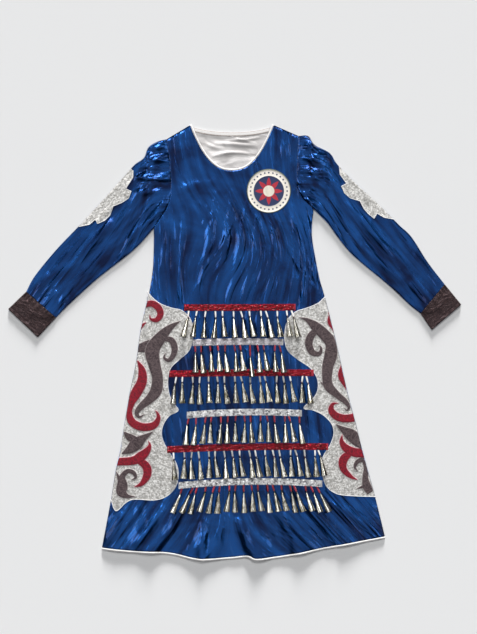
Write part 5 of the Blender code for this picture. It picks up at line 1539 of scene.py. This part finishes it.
def cone_mesh():
    """A cone along +Z, its narrow top at the origin, bent round in flats by the roller."""
    half_flat = np.pi / CONE_FLATS

    def place(u, v):
        turn = 2 * np.pi * CONE_TURN * u
        flat = np.cos(half_flat) / np.cos(turn % (2 * half_flat) - half_flat)
        radius = (CONE_TOP_RADIUS + (CONE_MOUTH_RADIUS - CONE_TOP_RADIUS) * v) * (0.98 + 0.07 * u) * flat
        flare = 0.35 * np.clip((v - 0.93) / 0.07, 0, 1) ** 2
        crimp = 1 - 0.12 * np.exp(-v / 0.05)
        radius = (radius + flare) * crimp
        return np.column_stack([radius * np.cos(turn), radius * np.sin(turn), CONE_LENGTH * v])

    bm = cloth_grid(*CONE_GRID, place, (CONE_CUT_WIDTH * MM, CONE_LENGTH * MM))
    bmesh.ops.solidify(bm, geom=bm.faces[:], thickness=CONE_SHEET * MM)
    bmesh.ops.recalc_face_normals(bm, faces=bm.faces)
    mesh = bpy.data.meshes.new("cone")
    bm.to_mesh(mesh)
    bm.free()
    return mesh


CONE_MESH = cone_mesh()
print("one cone has", len(CONE_MESH.polygons), "faces")

# %% Seats of the cones and their loops
SEWN_WOBBLE, MOUTH_WOBBLE, HANG_WOBBLE, LOOP_KINK = 5.0, 0.8, 2.0, 3.6
LOWER_CONES = {(2, 7): 13.0}


def needed_height(heights, centre, sideways, radius):
    """How high a round section's middle must be to clear what lies under it."""
    parts = np.array([-1.0, -0.6, 0.0, 0.6, 1.0])
    spots = centre + sideways * (radius * parts)[:, None]
    round_part = radius * np.sqrt(np.maximum(1 - parts * parts, 0))
    return float(np.max(heights(*spots.T) + round_part) + CONE_CLEARANCE)


def cone_seat(heights, top_xy, mouth_xy, sideways):
    """The heights of a cone's middle line at its top and at its mouth, so that it rests on the dress."""
    places = np.linspace(0.0, 1.05, 15)
    wanted = []
    for t in places:
        radius = CONE_TOP_RADIUS + (CONE_MOUTH_RADIUS - CONE_TOP_RADIUS) * min(t, 1.0)
        wanted.append(needed_height(heights, top_xy + (mouth_xy - top_xy) * t, sideways, radius))
    top_z = max(wanted[:4])
    slope = max((height - top_z) / t for height, t in zip(wanted[4:], places[4:]))
    return top_z, top_z + max(slope, 0.0)


def loop_strand(start, end):
    """A folded ribbon from under the band into the top of a cone."""
    run = end - start
    sideways = np.array([-run[1], run[0], 0.0])
    sideways /= np.linalg.norm(sideways)

    def place(u, v):
        turn = 2 * np.pi * u
        half = LOOP_HALF_WIDTH * (1 - 0.35 * np.clip((v - 0.6) / 0.4, 0, 1))
        middle = start + run * v[:, None]
        sag = 0.5 * np.sin(np.pi * v)
        return np.column_stack([middle[:, :2] + sideways[:2] * (half * np.cos(turn))[:, None],
                                middle[:, 2] + sag + 0.6 * np.sin(turn)])

    return cloth_grid(8, 5, place, LOOP_CUT, closed=True)


print("loops are about", LOOP_LENGTH, "mm long")

# %% Rows of cones set down
def hang(number, row, k, x):
    """Where the loop of a row's cone k is sewn, where its top hangs, and the direction it hangs in."""
    leans = [row.lean_right, row.lean_mid, row.lean_left]
    lean = float(np.interp(k / (row.count - 1), [0, 0.5, 1], leans))
    moved = SEWN_WOBBLE * math.sin(2.4 * k + number)
    lean += MOUTH_WOBBLE * math.sin(3.3 * k + 2 * number) - moved
    loop = LOOP_LENGTH + HANG_WOBBLE * math.sin(1.9 * k + 3 * number) + LOWER_CONES.get((number, k), 0)
    total = loop + CONE_LENGTH
    step = np.array([lean, -math.sqrt(total**2 - lean**2)]) / total
    sewn_xy = np.array([x + moved, row_y(row, x + moved) - BAND_WIDTH / 2])
    top_xy = sewn_xy + step * loop
    sewn_xy[0] += LOOP_KINK * math.sin(4.1 * k + 5 * number)
    return sewn_xy, top_xy, step


def set_down(bm, top, mouth, sideways, turn):
    """Adds a cone from its top to its mouth, turned about its own axis."""
    axis = Vector(mouth - top).normalized()
    side = Vector((*sideways, 0.0))
    seat = Matrix((side, axis.cross(side), axis)).transposed().to_4x4()
    seat.translation = Vector(top) * MM
    known = len(bm.verts)
    bm.from_mesh(CONE_MESH)
    bm.verts.ensure_lookup_table()
    bmesh.ops.transform(bm, matrix=seat @ Matrix.Rotation(turn, 4, "Z"), verts=bm.verts[known:])


def jingle_row(number, row, heights):
    """A row of cones with their loops: each loop runs from under the band into its cone's top."""
    bm = bmesh.new()
    strands = []
    for k, x in enumerate(np.linspace(row.first, row.last, row.count)):
        sewn_xy, top_xy, step = hang(number, row, k, x)
        mouth_xy = top_xy + step * CONE_LENGTH
        sideways = np.array([-step[1], step[0]])
        top_z, mouth_z = cone_seat(heights, top_xy, mouth_xy, sideways)
        top, mouth = np.array([*top_xy, top_z]), np.array([*mouth_xy, mouth_z])
        set_down(bm, top, mouth, sideways, 1.9 + 2.1 * math.sin(5.3 * k + 1.7 * number))
        sewn_z = heights([sewn_xy[0]], [sewn_xy[1]])[0] + TAPE_TOP
        sewn = np.array([*(sewn_xy - step * LOOP_UNDER_BAND), sewn_z])
        inside = top_z + (mouth_z - top_z) * LOOP_IN_CONE / CONE_LENGTH
        strands.append(loop_strand(sewn, np.array([*(top_xy + step * LOOP_IN_CONE), inside])))
    return joined([bm, second_finish(joined(strands))])


for number, row in enumerate(ROWS, 1):
    others = [obj for name, obj in band_pieces.items() if name != row.band]
    heights = surface_under([front, *side_panels.values(), *scroll_pieces.values(), *others])
    ribbon = WHITE_RIBBON if row.finish == "red" else RED_RIBBON
    piece(f"jingles_{number}_tin", jingle_row(number, row, heights),
                                  [TINPLATE, ribbon], [f"jingles_{number}"], "jingle_metal")

# %% [markdown]
# ## Chest patch
#
# A round cloth patch is sewn on the chest: a cream ring round a navy field. Its motif here is a plain
# eight-pointed star, an old quilt pattern. It is a disc-shaped grid, polar like a spider's web, and the
# material draws the colours from the distance and the angle to the middle.

# %% The patch's cloth
PATCH_CENTRE, PATCH_RADIUS = Spot(92, 407), 59.5
PATCH_TOP, PATCH_FIELD, PATCH_EDGING = 1.6, 41.0, 2.4
PATCH_GRID, PATCH_CUT = (120, 40), (0.37, 0.06)
STAR_POINTS, STAR_INNER, STAR_OUTER = 8, 15.0, 37.0
DOTS, DOT_RING, DOT_RADIUS = 28, 49.5, 2.2


def patch_finish():
    """Printed and stitched cloth: a cream ring with a row of dots round a navy field with a star."""
    material = new_material("printed_patch_cloth")
    place = add(material, "TexCoord").outputs["Object"]
    centred = add(material, "Mapping", {
        "Vector": place, "Location": (-PATCH_CENTRE.x * MM, -PATCH_CENTRE.y * MM, 0)})
    flat = add(material, "SeparateXYZ", {0: centred})
    plan = add(material, "CombineXYZ", {0: flat.outputs[0], 1: flat.outputs[1]})
    radius = add(material, "VectorMath", {0: plan}, operation="LENGTH").outputs["Value"]
    angle = add(material, "Math", {0: flat.outputs[1], 1: flat.outputs[0]}, operation="ARCTAN2")

    def near_spoke(count):
        """How far the angle is from the nearest of `count` spokes, from 0 to 1."""
        turns = add(material, "Math", {0: angle, 1: count / (2 * math.pi)}, operation="MULTIPLY")
        wrapped = add(material, "Math", {0: turns, 1: 0.5}, operation="PINGPONG")
        return add(material, "Math", {0: wrapped, 1: 2.0}, operation="MULTIPLY")

    def inside(distance, edge, soft=0.0006):
        """1 where the distance is less than the edge, 0 beyond it."""
        return add(material, "MapRange", {
            "Value": distance, "From Min": edge - soft, "From Max": edge + soft, "To Min": 1.0,
            "To Max": 0.0})

    star_edge = add(material, "MapRange", {
        "Value": near_spoke(STAR_POINTS), "To Min": STAR_OUTER * MM, "To Max": STAR_INNER * MM})
    in_star = add(material, "Math", {0: radius, 1: star_edge}, operation="LESS_THAN")
    heart = inside(radius, STAR_INNER * MM)
    field = inside(radius, PATCH_FIELD * MM)
    from_dot_ring = add(material, "Math", {0: radius, 1: DOT_RING * MM}, operation="SUBTRACT")
    sideways = add(material, "Math", {
        0: near_spoke(DOTS), 1: math.pi * DOT_RING * MM / DOTS}, operation="MULTIPLY")
    dot = add(material, "CombineXYZ", {0: from_dot_ring, 1: sideways})
    in_dot = inside(add(material, "VectorMath", {
        0: dot}, operation="LENGTH").outputs["Value"], DOT_RADIUS * MM, 0.0004)
    edging = inside(radius, (PATCH_RADIUS - PATCH_EDGING) * MM)
    layers = [(in_dot, "2E3C5C"), (field, "22305A"), (in_star, "B32236"), (heart, "E8E0D0")]
    tone = colour("F2EBE0")
    for mask, code in layers:
        tone = add(material, "Mix", {0: mask, 6: tone, 7: colour(code)}, data_type="RGBA").outputs[2]
    tone = add(material, "Mix", {0: edging, 6: colour("5C6250"), 7: tone}, data_type="RGBA").outputs[2]
    threads = add(material, "TexVoronoi", {"Vector": place, "Scale": 700.0})
    bump = add(material, "Bump", {"Height": threads, "Strength": 0.5, "Distance": 0.0006})
    shader = add(material, "BsdfPrincipled", {
        "Base Color": tone, "Roughness": 0.55, "Normal": bump, "Sheen Weight": 0.25})
    add(material, "OutputMaterial", {"Surface": shader})
    return material


PATCH_CLOTH = patch_finish()
print("finish:", PATCH_CLOTH.name)

# %% Chest patch
def patch_place(u, v):
    """A disc laid on the front, raised along its stitched rim and round its field."""
    radius, turn = PATCH_RADIUS * v, 2 * np.pi * u
    x, y = PATCH_CENTRE.x + radius * np.cos(turn), PATCH_CENTRE.y + radius * np.sin(turn)
    rim = 0.8 * hump(radius, PATCH_RADIUS - 2.0, 1.6)
    seam = 0.5 * hump(radius, PATCH_FIELD, 1.2)
    return np.column_stack([x, y, front_z(x, y) + PATCH_TOP + rim + seam])


patch_cloth = cloth_grid(*PATCH_GRID, patch_place, PATCH_CUT, closed=True)
face_out(patch_cloth)
patch = piece("chest_patch_cloth", patch_cloth, [PATCH_CLOTH], ["chest_patch"], "patch_cloth", CLOTH)

# %% [markdown]
# ## Areas of the sheets
#
# The area of every panel of cloth is worked out, and the areas of the sleeves, cuffs and silver panels
# are printed.

# %% Sheets
def plan_area(obj):
    """The area of one side of a panel, in square metres."""
    return sum(polygon.area for polygon in obj.data.polygons)


round(plan_area(front), 3)
round(plan_area(back), 3)
for side, obj in sleeve_pieces.items():
    round(plan_area(obj), 4)
    print(side, "sleeve", round(plan_area(obj), 3), "square metres all round")
for side, obj in cuff_pieces.items():
    round(plan_area(obj), 4)
    print(side, "cuff", round(plan_area(obj), 4), "square metres all round")
for side, obj in side_panels.items():
    print(side, "side panel", round(panel_areas[obj.name], 4), "square metres")
for side, obj in sleeve_panels.items():
    print(side, "sleeve panel", round(panel_areas[obj.name], 4), "square metres")

# %% Finish
print("finished")
